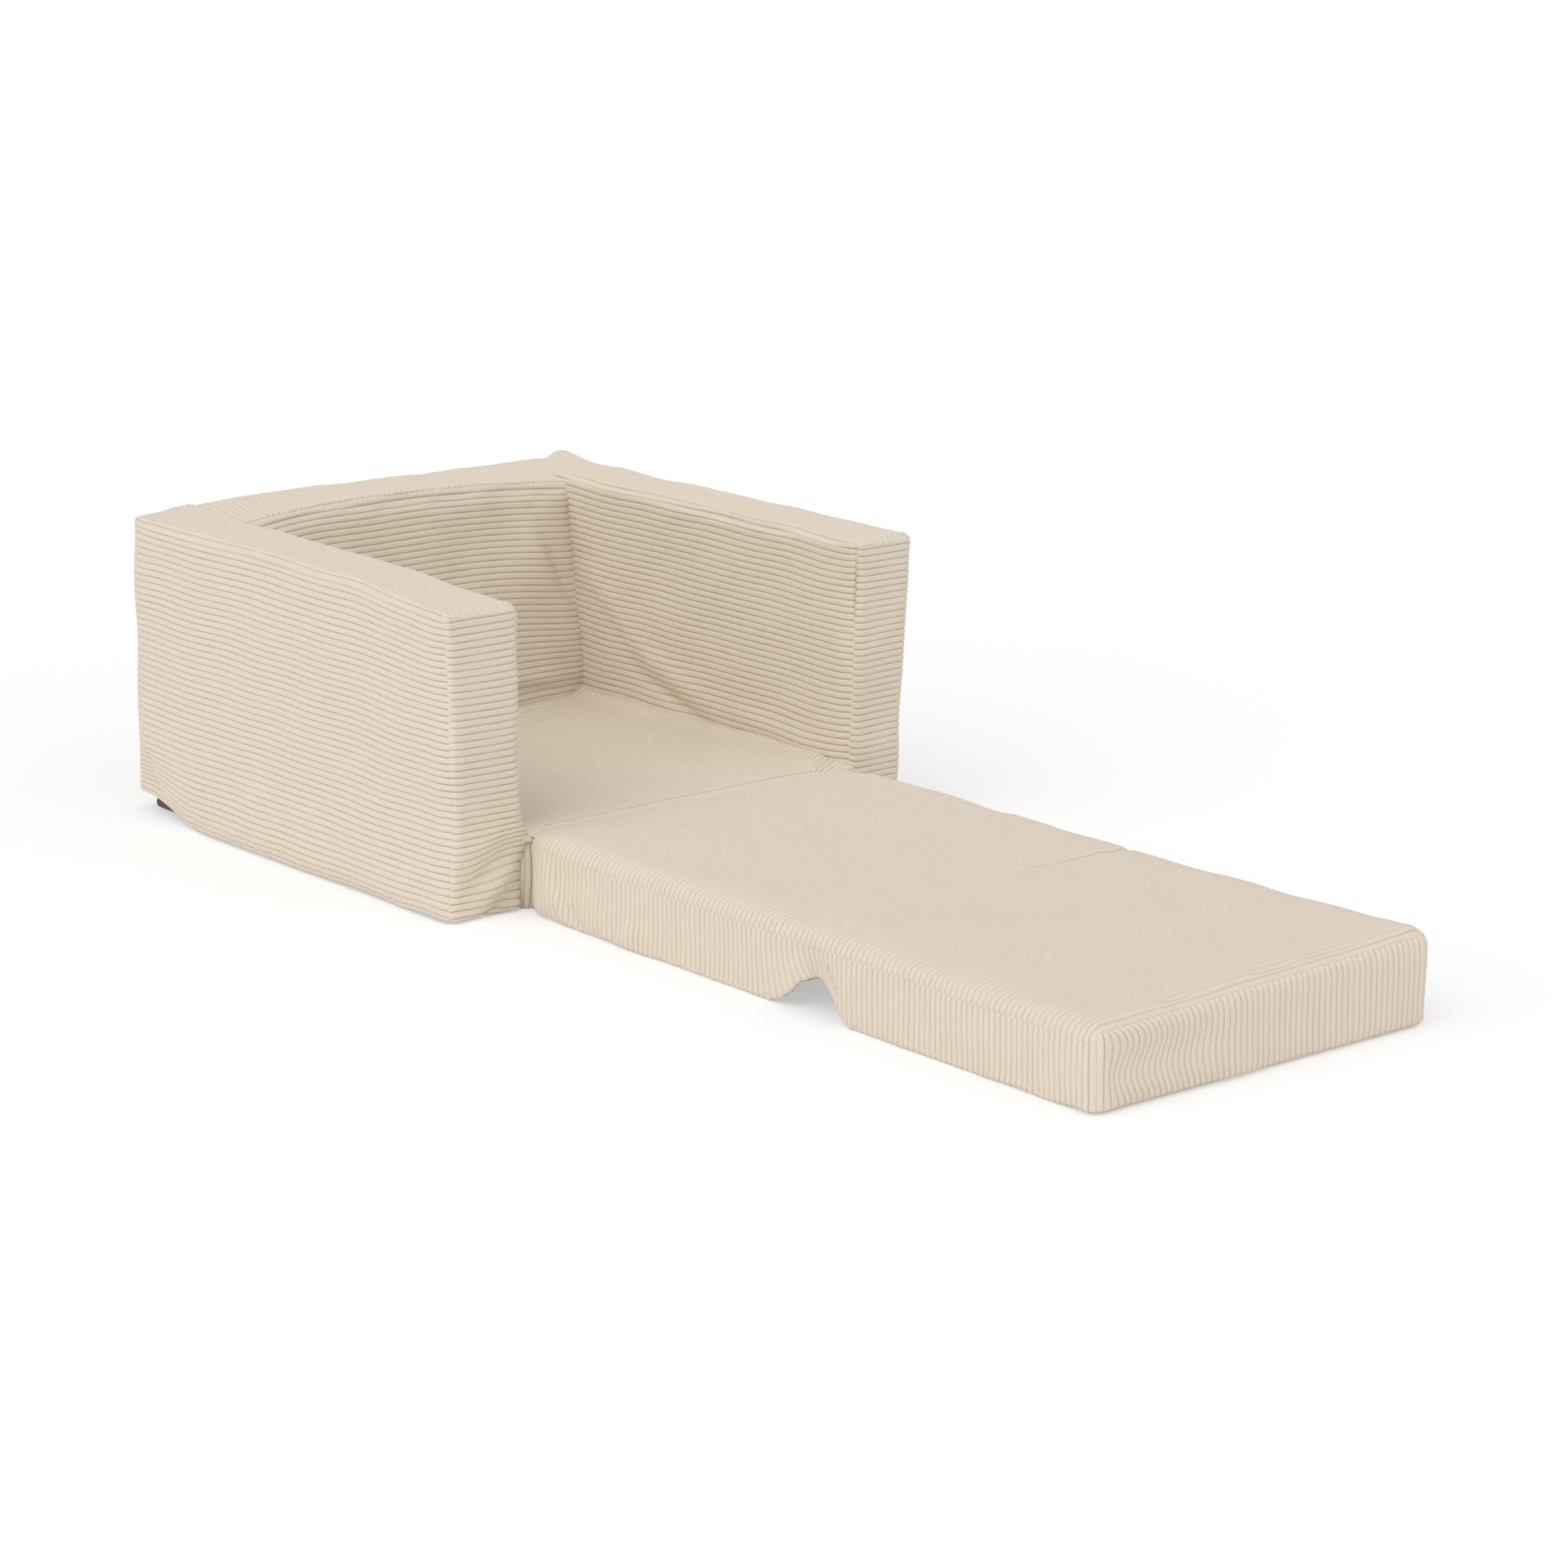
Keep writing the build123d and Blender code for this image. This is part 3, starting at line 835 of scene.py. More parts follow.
def raise_ear(cloth):
    """Lift the loose corner of the cover at the back right."""
    x, y, z = cloth.xyz()
    near_top = ramp(z, 0.24, 0.045)
    ear = bell(x, 0.246, 0.012) * ramp(y, 0.585, 0.055) * near_top
    drop = ramp(x, 0.250, 0.014) * ramp(y, 0.550, 0.050) * near_top
    cloth.shift((0, 0, 1), 0.0075 * ear - 0.0060 * drop)


def lift_hem(cloth):
    """Raise the hem at the back left, where the base cloth shows."""
    x, y, z = cloth.xyz()
    cloth.shift((0, 0, 0.017), ramp(y, 0.525, 0.095) * ramp(-x, 0.215, 0.04) * smooth(1 - z / 0.07))


class ARMCHAIR_OT_arms(bpy.types.Operator):
    """Sew the arm wraps and the arm front panels"""

    bl_idname = "armchair.arms"
    bl_label = "Arm covers"

    def execute(self, context):
        cover = context.scene.armchair_cover
        for side_name, side in SIDES:
            cage = arm_cage(side_name, side, cover)
            arm = side_name + "_arm"
            wrap = Corduroy(arm_strip(cage, side), cage.centre, cover, wander=0.0009)
            wrap.ripple(*ARM_RIPPLE)
            wrap.fold(*WRAP_FOLDS[side_name])
            raise_ear(wrap)
            lift_hem(wrap)
            front = Corduroy(cage.points[cage.index[:, 0].T], cage.centre, cover, step=0.0045)
            front.ripple(*ARM_RIPPLE)
            if side_name == "left":
                push_nub(wrap)
                drag_front(front)
                push_nub(front)
            front.fold(*FRONT_FOLDS[side_name])
            sew(wrap, "shell", arm + "_wrap_cloth", arm + "_wrap", seams=(False, False, FRONT_LAP, True))
            seams = (False, FRONT_LAP, FRONT_LAP, FRONT_LAP)
            sew(front, "shell", arm + "_front_cloth", arm + "_front_panel", seams=seams)
        return {"FINISHED"}


# Back

# Where along the back its top seam stands highest, how high, and how far the rise reaches to either side
BACK_CROWN_X = -0.05
BACK_CROWN = 0.0125
CROWN_REACH_LEFT = 0.165
CROWN_REACH_RIGHT = 0.24

# How far the back's panels run in beside the arms, and below the seat
BACK_TUCK = 0.009
BACK_FOOT = 0.025

# Radii of the back's edges, at the low and the high end of each axis
BACK_ROUNDS = ((0.002, 0.006, 0.005), (0.002, 0.012, 0.007))

# How far the inner panel comes forward at its corners, and the top panel dives beside the arms
CORNER_PUSH = 0.002
TOP_DIVE = 0.005

# How far in from its solid's sides and top the outer panel ends, and how far it dips there and by its zip
OUTER_INSET = 0.0015
OUTER_DROP = 0.0060
BORDER_DIP = 0.0042
ZIP_DIP = 0.0032

# Folds in the back cover: two ends, a width and a rise
BACK_FOLDS = (
    ((0.060, 0.531, 0.096), (0.185, 0.531, 0.088), 0.008, 0.0030),
    ((0.040, 0.531, 0.084), (0.190, 0.531, 0.077), 0.006, -0.0026),
    ((0.128, 0.556, 0.262), (0.178, 0.543, 0.160), 0.014, 0.0030),
    ((0.148, 0.556, 0.262), (0.190, 0.543, 0.160), 0.007, -0.0045),
)


class ARMCHAIR_OT_back(bpy.types.Operator):
    """Sew the back's inner, top and outer panels"""

    bl_idname = "armchair.back"
    bl_label = "Back cover"

    def execute(self, context):
        cover = context.scene.armchair_cover
        low, high = hull("back_inner_panel", "back_top_panel")
        start = 0.5 * cover.arm_swell
        foot = SEAT_HEIGHT - BACK_FOOT
        cage = Cage(
            spaced(low[0] - BACK_TUCK, high[0] + BACK_TUCK, 0.0105, 0.004, 0.004),
            spaced(low[1] + start, high[1] + REAR_LAP, 0.010, 0.008, 0.012),
            spaced(foot, high[2] - start, 0.010, 0.005, 0.009),
        )
        points = cage.rounded(*BACK_ROUNDS, REAR_TURN)
        rise = np.clip((points[:, 2] - SEAT_HEIGHT) / (high[2] - SEAT_HEIGHT), 0, 1)
        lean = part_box("back_top_panel")[0][1] - low[1]
        near_front = np.clip((high[1] - points[:, 1]) / (high[1] - low[1]), 0, 1)
        points[:, 1] += lean * rise * near_front
        reach = np.where(points[:, 0] < BACK_CROWN_X, CROWN_REACH_LEFT, CROWN_REACH_RIGHT)
        crown = BACK_CROWN * np.clip(1 - ((points[:, 0] - BACK_CROWN_X) / reach) ** 2, 0, 1)
        front_rise = ramp(rise, 0, 0.35) * crown
        points[:, 2] += rise * top_rise(points) * (1 - near_front) + front_rise * near_front
        cage.points = points
        held = (points[:, 1] > high[1] - 0.008) | (points[:, 2] < foot + 0.002)
        cage.puff(held, cover.arm_swell, cover.fill_pressure)
        inner = Corduroy(cage.points[cage.index[:, 0].T], cage.centre, cover, step=0.005, wander=0.0010)
        inner.ripple(size=0.0011, length=0.08, seed=41)
        inner.fold(*BACK_FOLDS)
        corner = np.maximum(high[0] + 0.004 - np.abs(inner.place[..., 0]), 0)
        inner.shift((0, -1, 0), CORNER_PUSH * np.exp(-corner / 0.007))
        sew(inner, "shell", "back_inner_cloth", "back_inner_panel", seams=(True, True, False, False))
        top = Corduroy(cage.points[cage.index[:, :, -1]], cage.centre, cover)
        top.ripple(size=0.0006, length=0.10, seed=41)
        raise_ear(top)
        past_inner = np.abs(top.place[..., 0]) - high[0]
        top.shift((0, 0, -1), TOP_DIVE * ramp(past_inner, 0.001, 0.006))
        sew(top, "shell", "back_top_cloth", "back_top_panel", seams=(False, False, True, True))
        self.outer_panel(cover)
        return {"FINISHED"}

    def outer_panel(self, cover):
        """The full-width panel behind the arms and the back, cut open for the zip."""
        low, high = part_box("back_outer_panel")
        zip_low, zip_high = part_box("shell_zip_tape")
        half = high[0] - OUTER_INSET
        border = 0.014
        xs = spaced(-half, half, 0.011, border, border)
        zs = spaced(HEM_HEIGHT, high[2] - OUTER_DROP, 0.011, 0.006, border)
        net = flat_net(zs, xs, 2, 0)
        net[..., 1] = low[1] + REAR_LAP - 0.0005
        net[..., 2] += top_rise(net) * (net[..., 2] / high[2]) ** 2
        from_side = half - np.abs(net[..., 0])
        from_top = (zs[-1] - zs)[:, None]
        near = 1 - np.clip(np.minimum(from_side, from_top) / border, 0, 1)
        net[..., 1] -= BORDER_DIP * near**2
        stops = (zip_low[0] + half, zip_high[0] + half)
        outer = Corduroy(net, (0, low[1] - 0.2, net[..., 2].mean()), cover, stops)
        outer.ripple(size=0.0009, length=0.1, seed=43)
        x, _, z = outer.xyz()
        beside = np.maximum(np.abs(x) - zip_high[0], 0)
        over = np.maximum(np.maximum(zip_low[2] - z, z - zip_high[2]), 0)
        outer.shift((0, -1, 0), ZIP_DIP * smooth(1.4 - np.hypot(beside, over) / 0.011))
        raise_ear(outer)
        lift_hem(outer)
        sewing = {"seams": (False, True, True, True), "hole": zip_slot("shell")}
        sew(outer, "shell", "back_outer_cloth", "back_outer_panel", **sewing)


# Seat base

# Folds in the seat cover: two ends, a width and a rise
SEAT_FOLDS = (
    ((0.020, 0.522, 0.066), (0.190, 0.516, 0.068), 0.007, 0.0035),
    ((0.186, 0.500, 0.070), (0.188, 0.330, 0.070), 0.009, 0.0025),
    ((0.090, 0.400, 0.066), (0.190, 0.350, 0.066), 0.016, 0.0016),
    ((-0.060, 0.470, 0.064), (0.090, 0.440, 0.064), 0.018, -0.0014),
)

# Rear, middle and front of a web of seat cloth, beside the arm and beside the mattress, from the arm's face
WEB_AT_ARM = ((0.003, 0.150, 0.0770), (0.001, 0.116, 0.0790), (-0.004, 0.1125, 0.066))
WEB_AT_PAD = ((-0.040, 0.118, 0.0745), (-0.034, 0.105, 0.0745), (-0.024, 0.1040, 0.063))

# How far the seat's panel runs in beside the arms and under the back, and how far it sags
SEAT_TUCK = 0.008
SEAT_REAR_TUCK = 0.014
SEAT_SAG = 0.012

# Where the base's front panel meets the left and the right arm, how far it bulges and curls back there
FRONT_LEFT_X = -0.181
FRONT_RIGHT_X = 0.192
FRONT_BULGE = 0.0035
FRONT_CURL = 0.016


class ARMCHAIR_OT_seat_base(bpy.types.Operator):
    """Sew the seat's top panel, the base's front panel and the webs beside the seat fold"""

    bl_idname = "armchair.seat_base"
    bl_label = "Seat base cover"

    def execute(self, context):
        cover = context.scene.armchair_cover
        self.seat_panel(cover)
        self.front_panel(cover)
        for side_name, side in SIDES:
            self.fold_web(side_name, side, cover)
        return {"FINISHED"}

    def seat_panel(self, cover):
        """The sagging top of the seat, tucked in beside the arms and under the back."""
        low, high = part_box("base_top_panel")
        half = high[0] + 0.001
        xs = spaced(-half - SEAT_TUCK, half + SEAT_TUCK, 0.011, 0.012, 0.012)
        ys = spaced(low[1], high[1] + SEAT_REAR_TUCK, 0.011, 0.012, 0.012)
        net = flat_net(ys, xs, 1, 0)
        from_middle = np.abs(net[..., 0])
        ahead = net[..., 1] - low[1]
        from_rear = ahead[-1:] - ahead
        sag = SEAT_SAG * ramp(ahead / (high[1] - low[1]), 0, 0.75) * (1 - 0.4 * (from_middle / half) ** 4)
        side_rise = 0.006 * smooth((from_middle - half + 0.013) / 0.013) * ramp(ahead, 0.02, 0.03)
        rear_rise = 0.005 * smooth(1 - from_rear / 0.03)
        front_turn = 0.004 * smooth(1 - ahead / 0.012) ** 2
        net[..., 2] = high[2] - 0.0005 - sag + side_rise + rear_rise - front_turn
        seat = Corduroy(net, (0, net[..., 1].mean(), 0), cover, step=0.006)
        seat.ripple(size=0.0011, length=0.10, seed=51)
        seat.fold(*SEAT_FOLDS)
        sew(seat, "shell", "base_top_cloth", "base_top_panel", seams=(True, False, False, False))

    def front_panel(self, cover):
        """The base's front under the seat fold, bulging a little and curled back at the arms."""
        low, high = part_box("base_front_panel")
        xs = spaced(low[0] - 0.004, high[0] + 0.014, 0.007, 0.006, 0.006)
        zs = spaced(HEM_HEIGHT, high[2] - 0.002, 0.009, 0.006, 0.006)
        net = flat_net(xs, zs, 0, 2)
        x = net[..., 0]
        bulge = FRONT_BULGE * np.sin(math.pi * (zs - zs[0]) / (zs[-1] - zs[0]))[None, :]
        past_arm = np.where(x < 0, FRONT_LEFT_X - x, x - FRONT_RIGHT_X)
        net[..., 1] = low[1] - 0.003 - bulge
        net[..., 1] += FRONT_CURL * ramp(past_arm, 0, 0.014) - 0.005 * ramp(np.abs(x), 0.150, 0.025)
        front = Corduroy(net, (0, low[1] + 0.2, zs.mean()), cover)
        front.ripple(size=0.0006, length=0.07, seed=52)
        sew(front, "shell", "base_front_cloth", "base_front_panel", seams=(True, True, False, True))

    def fold_web(self, side_name, side, cover):
        """The corner of seat cloth that fills the gap between an arm and the mattress."""
        arm_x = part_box(side_name + "_arm_wrap")[1 if side < 0 else 0][0]
        u = np.linspace(0, 1, 7)[:, None, None]
        v = np.linspace(0, 1, 7)[None, :, None]
        weights = ((1 - v) ** 2, 2 * v * (1 - v), v**2)
        ends = zip(weights, np.array(WEB_AT_ARM), np.array(WEB_AT_PAD))
        net = sum(share * ((1 - u) * arm + u * pad) for share, arm, pad in ends)
        net[..., 0] = arm_x + side * net[..., 0]
        web = Corduroy(net.transpose(1, 0, 2), (0, 0.3, 0), cover, step=0.004)
        piece = web.panel(f"fold_web_{side_name}_cloth", seams=(False, False, True, True))
        bend(piece)


# Mattress

# Heights of the mattress's cuts, and which of them lie at its hem and at its side seam
PAD_HEIGHTS = (0, 0.0018, 0.005, 0.010, 0.018, 0.027, 0.036, 0.045, 0.054, 0.0615, 0.0665, 0.0715, 0.076)
HEM = 1
SIDE_SEAM = 9

# Radii of the mattress's edges, at the low and the high end of each axis
PAD_ROUNDS = {
    "low_edge": ((0.006, 0.014, 0.004), (0.006, 0.040, 0.010)),
    "top_edge": ((0.013, 0.010, 0.004), (0.013, 0.040, 0.013)),
    "rear_corner": ((0.018, 0.016, 0.006), (0.018, 0.040, 0.013)),
    "end_corner": ((0.014, 0.013, 0.007), (0.014, 0.040, 0.014)),
}

# How far the mattress stands over its solid, and by which share the seat section is wider at its middle
PAD_RISE = 0.0025
PAD_WIDER = 0.005

# How far the loose end lies to the right, and the right side higher on the seat section and at the end
PAD_SKEW = 0.005
SEAT_ROLL = 0.0025
END_ROLL = 0.0035

# How far the notch's gussets reach from the back fold, on the seat section and on the back section
GUSSET_TO_SEAT = 0.070
GUSSET_TO_BACK = 0.088

# How far to either side of the back fold the cloth over the fold reaches
ZONE = 0.032

# Unevenness of the mattress cover: size, wavelength and seed
PAD_RIPPLE = (0.0008, 0.11, 61)

# Seams of the back section's and the seat section's cloth, and of the cloth over the fold between them
BACK_SEAMS = (True, False, True, True)
SEAT_SEAMS = (False, True, True, True)
BEND_SEAMS = (False, False, True, True)


def mattress_cage(cover):
    """Both mattress sections as one stuffed block, a little wider at the seat section's middle."""
    low, high = hull(
        "seat_pad_bottom_panel", "seat_pad_top_panel", "backrest_pad_top_panel", "seat_pad_left_band"
    )
    cage = Cage(
        spaced(low[0], -low[0], 0.0105, 0.015, 0.015),
        spaced(low[1] - 0.002, high[1], 0.0105, 0.016, 0.040),
        np.array(PAD_HEIGHTS) * (high[2] + PAD_RISE) / PAD_HEIGHTS[-1],
    )
    _, y, z = cage.points.T
    edges = {name: cage.rounded(*radii) for name, radii in PAD_ROUNDS.items()}
    points = mix(edges["low_edge"], edges["top_edge"], ramp(z, 0.03, 0.03))
    points = mix(points, edges["rear_corner"], smooth((y - high[1] + 0.060) / 0.03))
    points = mix(points, edges["end_corner"], ramp(y, low[1] + 0.045, -0.025))
    middle = (SEAT_FOLD_Y + BACK_FOLD_Y) / 2
    half_span = (SEAT_FOLD_Y - BACK_FOLD_Y) / 2
    drawn = np.clip(1 - ((points[:, 1] - middle) / half_span) ** 2, 0, 1)
    points[:, 0] *= 1 + PAD_WIDER * drawn * (points[:, 1] > BACK_FOLD_Y)
    points[:, 0] += PAD_SKEW * ramp(points[:, 1], SEAT_FOLD_Y, -0.75)
    cage.points = points
    held = (points[:, 2] < 0.004) | (points[:, 1] > high[1] - 0.001)
    cage.puff(held, cover.pad_swell, cover.fill_pressure)
    from_fold = SEAT_FOLD_Y - cage.points[:, 1]
    highest = high[2] - 0.0005 + 0.0045 * ramp(from_fold, 0.012, 0.06)
    cage.points[:, 2] = np.clip(cage.points[:, 2], FLOOR_GAP, highest)
    roll = SEAT_ROLL * ramp(from_fold, 0.02, 0.10) + END_ROLL * ramp(from_fold, 0.40, 0.33)
    cage.points[:, 2] += roll * cage.points[:, 0] / high[0] * cage.points[:, 2] / high[2]
    return cage


def pad_net(cage, path):
    """Net that runs along the mattress, and across it on a path round its section."""
    return cage.points[np.stack([cage.index[i, :, k] for i, k in path], axis=1)]


def crease_fold(cloth):
    """Sink the cloth a little where the back section folds, more towards its right side."""
    x, y, _ = cloth.xyz()
    cloth.shift((0, 0, -1), (0.0006 + 0.0028 * ramp(x, 0.02, 0.14)) * bell(y, BACK_FOLD_Y, 0.006))


# Lower edge of the side cloth over the fold notch: distance ahead of the fold line, and height
ARCH_AHEAD = (-0.078, -0.058, -0.044, -0.034, -0.024, -0.017, -0.011, -0.004, 0.006, 0.018, 0.030, 0.050)
ARCH_HEIGHT = (0.0, 0.002, 0.012, 0.021, 0.028, 0.0325, 0.0340, 0.0315, 0.026, 0.016, 0.007, 0.0)


def arch_side(cloth, side):
    """Lift the side band's lower edge over the notch, tuck the band in there and draw its ribs along."""
    place = cloth.place.copy()
    low = place[:, :1, 2]
    high = place[:, -1:, 2]
    share = (place[..., 2] - low) / (high - low)
    ahead = place[..., 1] - BACK_FOLD_Y
    drag = ramp(ahead, -0.016, 0.025) * ramp(ahead, 0.075, -0.055)
    place[..., 1] -= 0.010 * drag * (1 - share) ** 2
    ahead = place[..., 1] - BACK_FOLD_Y
    lifted = np.maximum(low, np.interp(ahead, ARCH_AHEAD, ARCH_HEIGHT))
    place[..., 2] = lifted + share * (high - lifted)
    tuck = np.cos(math.pi / 2 * np.clip((ahead + 0.016) / 0.036, -1, 1)) ** 2 * (1 - 0.75 * share)
    place[..., 0] -= side * 0.006 * tuck
    cloth.place = place


def sections(cloth, name, node, back_row, seat_row, back_seams=BACK_SEAMS, seat_seams=SEAT_SEAMS):
    """Sew the two sections' panels from one run of cloth, up to either side of the fold."""
    for body, rows, seams in (
        ("backrest_pad", (0, back_row), back_seams),
        ("seat_pad", (seat_row, None), seat_seams),
    ):
        sew(cloth, body, f"{body}_{name}", f"{body}_{node}", rows=rows, seams=seams)


def mattress_top(cage, cover):
    """Top panels of both sections and the cloth over the fold between them."""
    last_x, last_z = cage.index.shape[0] - 1, cage.index.shape[2] - 1
    path = [(0, k) for k in range(SIDE_SEAM, last_z)]
    path += [(i, last_z) for i in range(last_x + 1)]
    path += [(last_x, k) for k in range(last_z - 1, SIDE_SEAM - 1, -1)]
    top = Corduroy(pad_net(cage, path), cage.centre, cover, pinch=0.6)
    top.ripple(*PAD_RIPPLE)
    crease_fold(top)
    seat_row = top.groove_near(BACK_FOLD_Y + ZONE)
    back_row = top.groove_near(BACK_FOLD_Y - ZONE)
    sections(top, "top_cloth", "top_panel", back_row, seat_row)
    piece = top.panel("backrest_fold_cloth", (back_row, seat_row), BEND_SEAMS)
    bend(piece, "backrest_fold_seam")


def mattress_bottom(cage, cover):
    """Bottom panels of both sections, clear of the fold notch."""
    last_x = cage.index.shape[0] - 1
    path = [(0, k) for k in range(HEM, 0, -1)]
    path += [(i, 0) for i in range(last_x + 1)]
    path += [(last_x, k) for k in range(1, HEM + 1)]
    bottom = Corduroy(pad_net(cage, path), cage.centre, cover)
    clear = notch_offset(0) + 0.010
    seat_row = bottom.groove_near(BACK_FOLD_Y + clear)
    back_row = bottom.groove_near(BACK_FOLD_Y - clear)
    all_sewn = (True, True, True, True)
    sections(bottom, "bottom_cloth", "bottom_panel", back_row, seat_row, all_sewn, all_sewn)


def mattress_sides(cage, cover):
    """Side bands of both sections, and the gussets that bridge the notch."""
    for side_name, side in SIDES:
        column = 0 if side < 0 else cage.index.shape[0] - 1
        path = [(column, k) for k in range(HEM, SIDE_SEAM + 1)]
        band = Corduroy(pad_net(cage, path), cage.centre, cover, step=0.005, pinch=0.6)
        band.ripple(*PAD_RIPPLE)
        arch_side(band, side)
        seat_row = band.groove_near(BACK_FOLD_Y + GUSSET_TO_SEAT)
        back_row = band.groove_near(BACK_FOLD_Y - GUSSET_TO_BACK)
        sections(band, side_name + "_cloth", side_name + "_band", back_row, seat_row)
        piece = band.panel(f"notch_gusset_{side_name}_cloth", (back_row, seat_row), BEND_SEAMS)
        bend(piece, f"notch_gusset_{side_name}")


def crumple_corner(cloth):
    """Zigzag wrinkles in the loose end's band, near its left corner."""
    x, _, z = cloth.xyz()
    fade = ramp(x, 0, -0.15) * ramp(x, -0.180, 0.025)
    turn = 2 * math.pi * (z - 0.052) / 0.050
    swing = np.stack([0.0042 * np.cos(turn), -0.0016 * np.sin(turn), np.zeros(z.shape)], axis=-1)
    cloth.shift(swing, fade)


def mattress_ends(cage, cover):
    """The loose end's band and the band at the seat fold."""
    for body, end, row in (("backrest_pad", "_end", 0), ("seat_pad", "_rear", -1)):
        band = Corduroy(cage.points[cage.index[:, row, HEM:]], cage.centre, cover, step=0.005)
        band.ripple(*PAD_RIPPLE)
        if row == 0:
            crumple_corner(band)
        sew(band, body, body + end + "_cloth", body + end + "_band")


def notch_panels(cover):
    """The slanted panels inside the fold notch, with their zip slots."""
    corner = 0.020
    top = 0.0615
    margin = 0.033
    reach = corner * math.tan((math.pi / 2 - HALF_FOLD) / 2)
    centre_y = notch_offset(0) + reach
    slope = [(notch_offset(z), z) for z in np.linspace(top, reach * math.cos(HALF_FOLD), 8)]
    turn = [
        (centre_y - corner * math.sin(angle), corner - corner * math.cos(angle))
        for angle in np.linspace(math.pi / 2 - HALF_FOLD, 0, 5)[1:]
    ]
    from_fold, height = np.array(slope + turn).T
    for name, sign in (("seat_pad", 1), ("backrest_pad", -1)):
        zip_low, zip_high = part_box(name + "_zip_tape")
        half = zip_high[0] + margin
        xs = spaced(-half, half, 0.011, 0.006, 0.006)
        net = flat_net(BACK_FOLD_Y + sign * from_fold, xs, 1, 0)
        net[..., 2] = height[:, None] + 0.0003
        wide = smooth((np.abs(xs) - zip_high[0] - 0.005) / 0.02) * (np.sign(xs) * 0.006 + 0.0027)
        net[..., 0] += wide * ramp(height[:, None], 0.062, -0.03)
        stops = (zip_low[0] + half, zip_high[0] + half)
        cloth = Corduroy(net, (0, BACK_FOLD_Y + sign * 0.2, 0.04), cover, stops)
        sew(cloth, name, name + "_notch_cloth", name + "_notch_panel", hole=zip_slot(name))


def seat_fold_strip(cover):
    """The narrow strip of cloth sewn along the seat fold."""
    low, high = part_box("seat_fold_seam")
    xs = spaced(low[0], high[0], 0.02, 0.006, 0.006)
    net = flat_net(SEAT_FOLD_Y + np.linspace(-0.007, 0.007, 9), xs, 1, 0)
    net[..., 2] = FOLD_Z - 0.0045
    strip = Corduroy(net, (0, SEAT_FOLD_Y, 0), cover)
    piece = strip.panel("seat_fold_cloth", seams=BEND_SEAMS)
    bend(piece, node="seat_fold_seam")


class ARMCHAIR_OT_mattress(bpy.types.Operator):
    """Sew the two mattress sections and the cloth at their folds"""

    bl_idname = "armchair.mattress"
    bl_label = "Mattress cover"

    def execute(self, context):
        cover = context.scene.armchair_cover
        cage = mattress_cage(cover)
        mattress_top(cage, cover)
        mattress_bottom(cage, cover)
        mattress_sides(cage, cover)
        mattress_ends(cage, cover)
        notch_panels(cover)
        seat_fold_strip(cover)
        return {"FINISHED"}


# Foam cores and base cloth

# Room between the solids and the foam cores, on each axis, and the rounding of the cores
ARM_INSET = (0.014, 0.009, 0.008)
BACK_INSET = (0.004, 0.009, 0.008)
BASE_INSET = (0.006, 0.009, 0.008)
PAD_INSET = (0.014, 0.008, 0.008)
CORE_ROUNDING = 0.010

# Room between a section's core and the notch, and between the seat's core and the sagging seat
MITRE_ROOM = 0.010
SAG_ROOM = 0.010


def foam_block(name, low, high):
    """A foam block inside its cover."""
    bpy.ops.object.select_all(action="DESELECT")
    bpy.ops.mesh.primitive_cube_add(size=1, location=tuple((low + high) / 2))
    block = bpy.context.object
    block.name = name
    block.scale = tuple(high - low)
    bpy.ops.object.transform_apply(location=True, rotation=False, scale=True)
    return block


def lean_foam(block, lean):
    """Set the back foam's upper inner edge back, as its inner face leans."""
    pick(block)
    middle = [sum(vertex.co[axis] for vertex in block.data.vertices) / 8 for axis in range(3)]
    bpy.ops.object.mode_set(mode="EDIT")
    bpy.ops.mesh.select_all(action="DESELECT")
    bpy.ops.object.mode_set(mode="OBJECT")
    for vertex in block.data.vertices:
        vertex.select = vertex.co[1] < middle[1] and vertex.co[2] > middle[2]
    bpy.ops.object.mode_set(mode="EDIT")
    bpy.ops.transform.translate(value=(0, lean, 0))
    bpy.ops.object.mode_set(mode="OBJECT")


def soften(block, rounding):
    """Round a foam block's edges."""
    pick(block)
    edge = block.modifiers.new("Softened edges", "BEVEL")
    edge.width = rounding
    edge.segments = 3
    edge.limit_method = "ANGLE"
    bpy.ops.object.modifier_apply(modifier=edge.name)
    bpy.ops.object.shade_smooth_by_angle(angle=math.radians(40))


def mitre_foam(block, sign):
    """Cut the slant of the fold notch off a section's foam."""
    height = 0.04
    place = BACK_FOLD_Y + sign * (notch_offset(height) + MITRE_ROOM)
    pick(block)
    bpy.ops.object.mode_set(mode="EDIT")
    bpy.ops.mesh.select_all(action="SELECT")
    bpy.ops.mesh.bisect(
        plane_co=(0, place, height),
        plane_no=(0, sign * math.cos(HALF_FOLD), math.sin(HALF_FOLD)),
        use_fill=True, clear_inner=True,
    )
    bpy.ops.object.mode_set(mode="OBJECT")


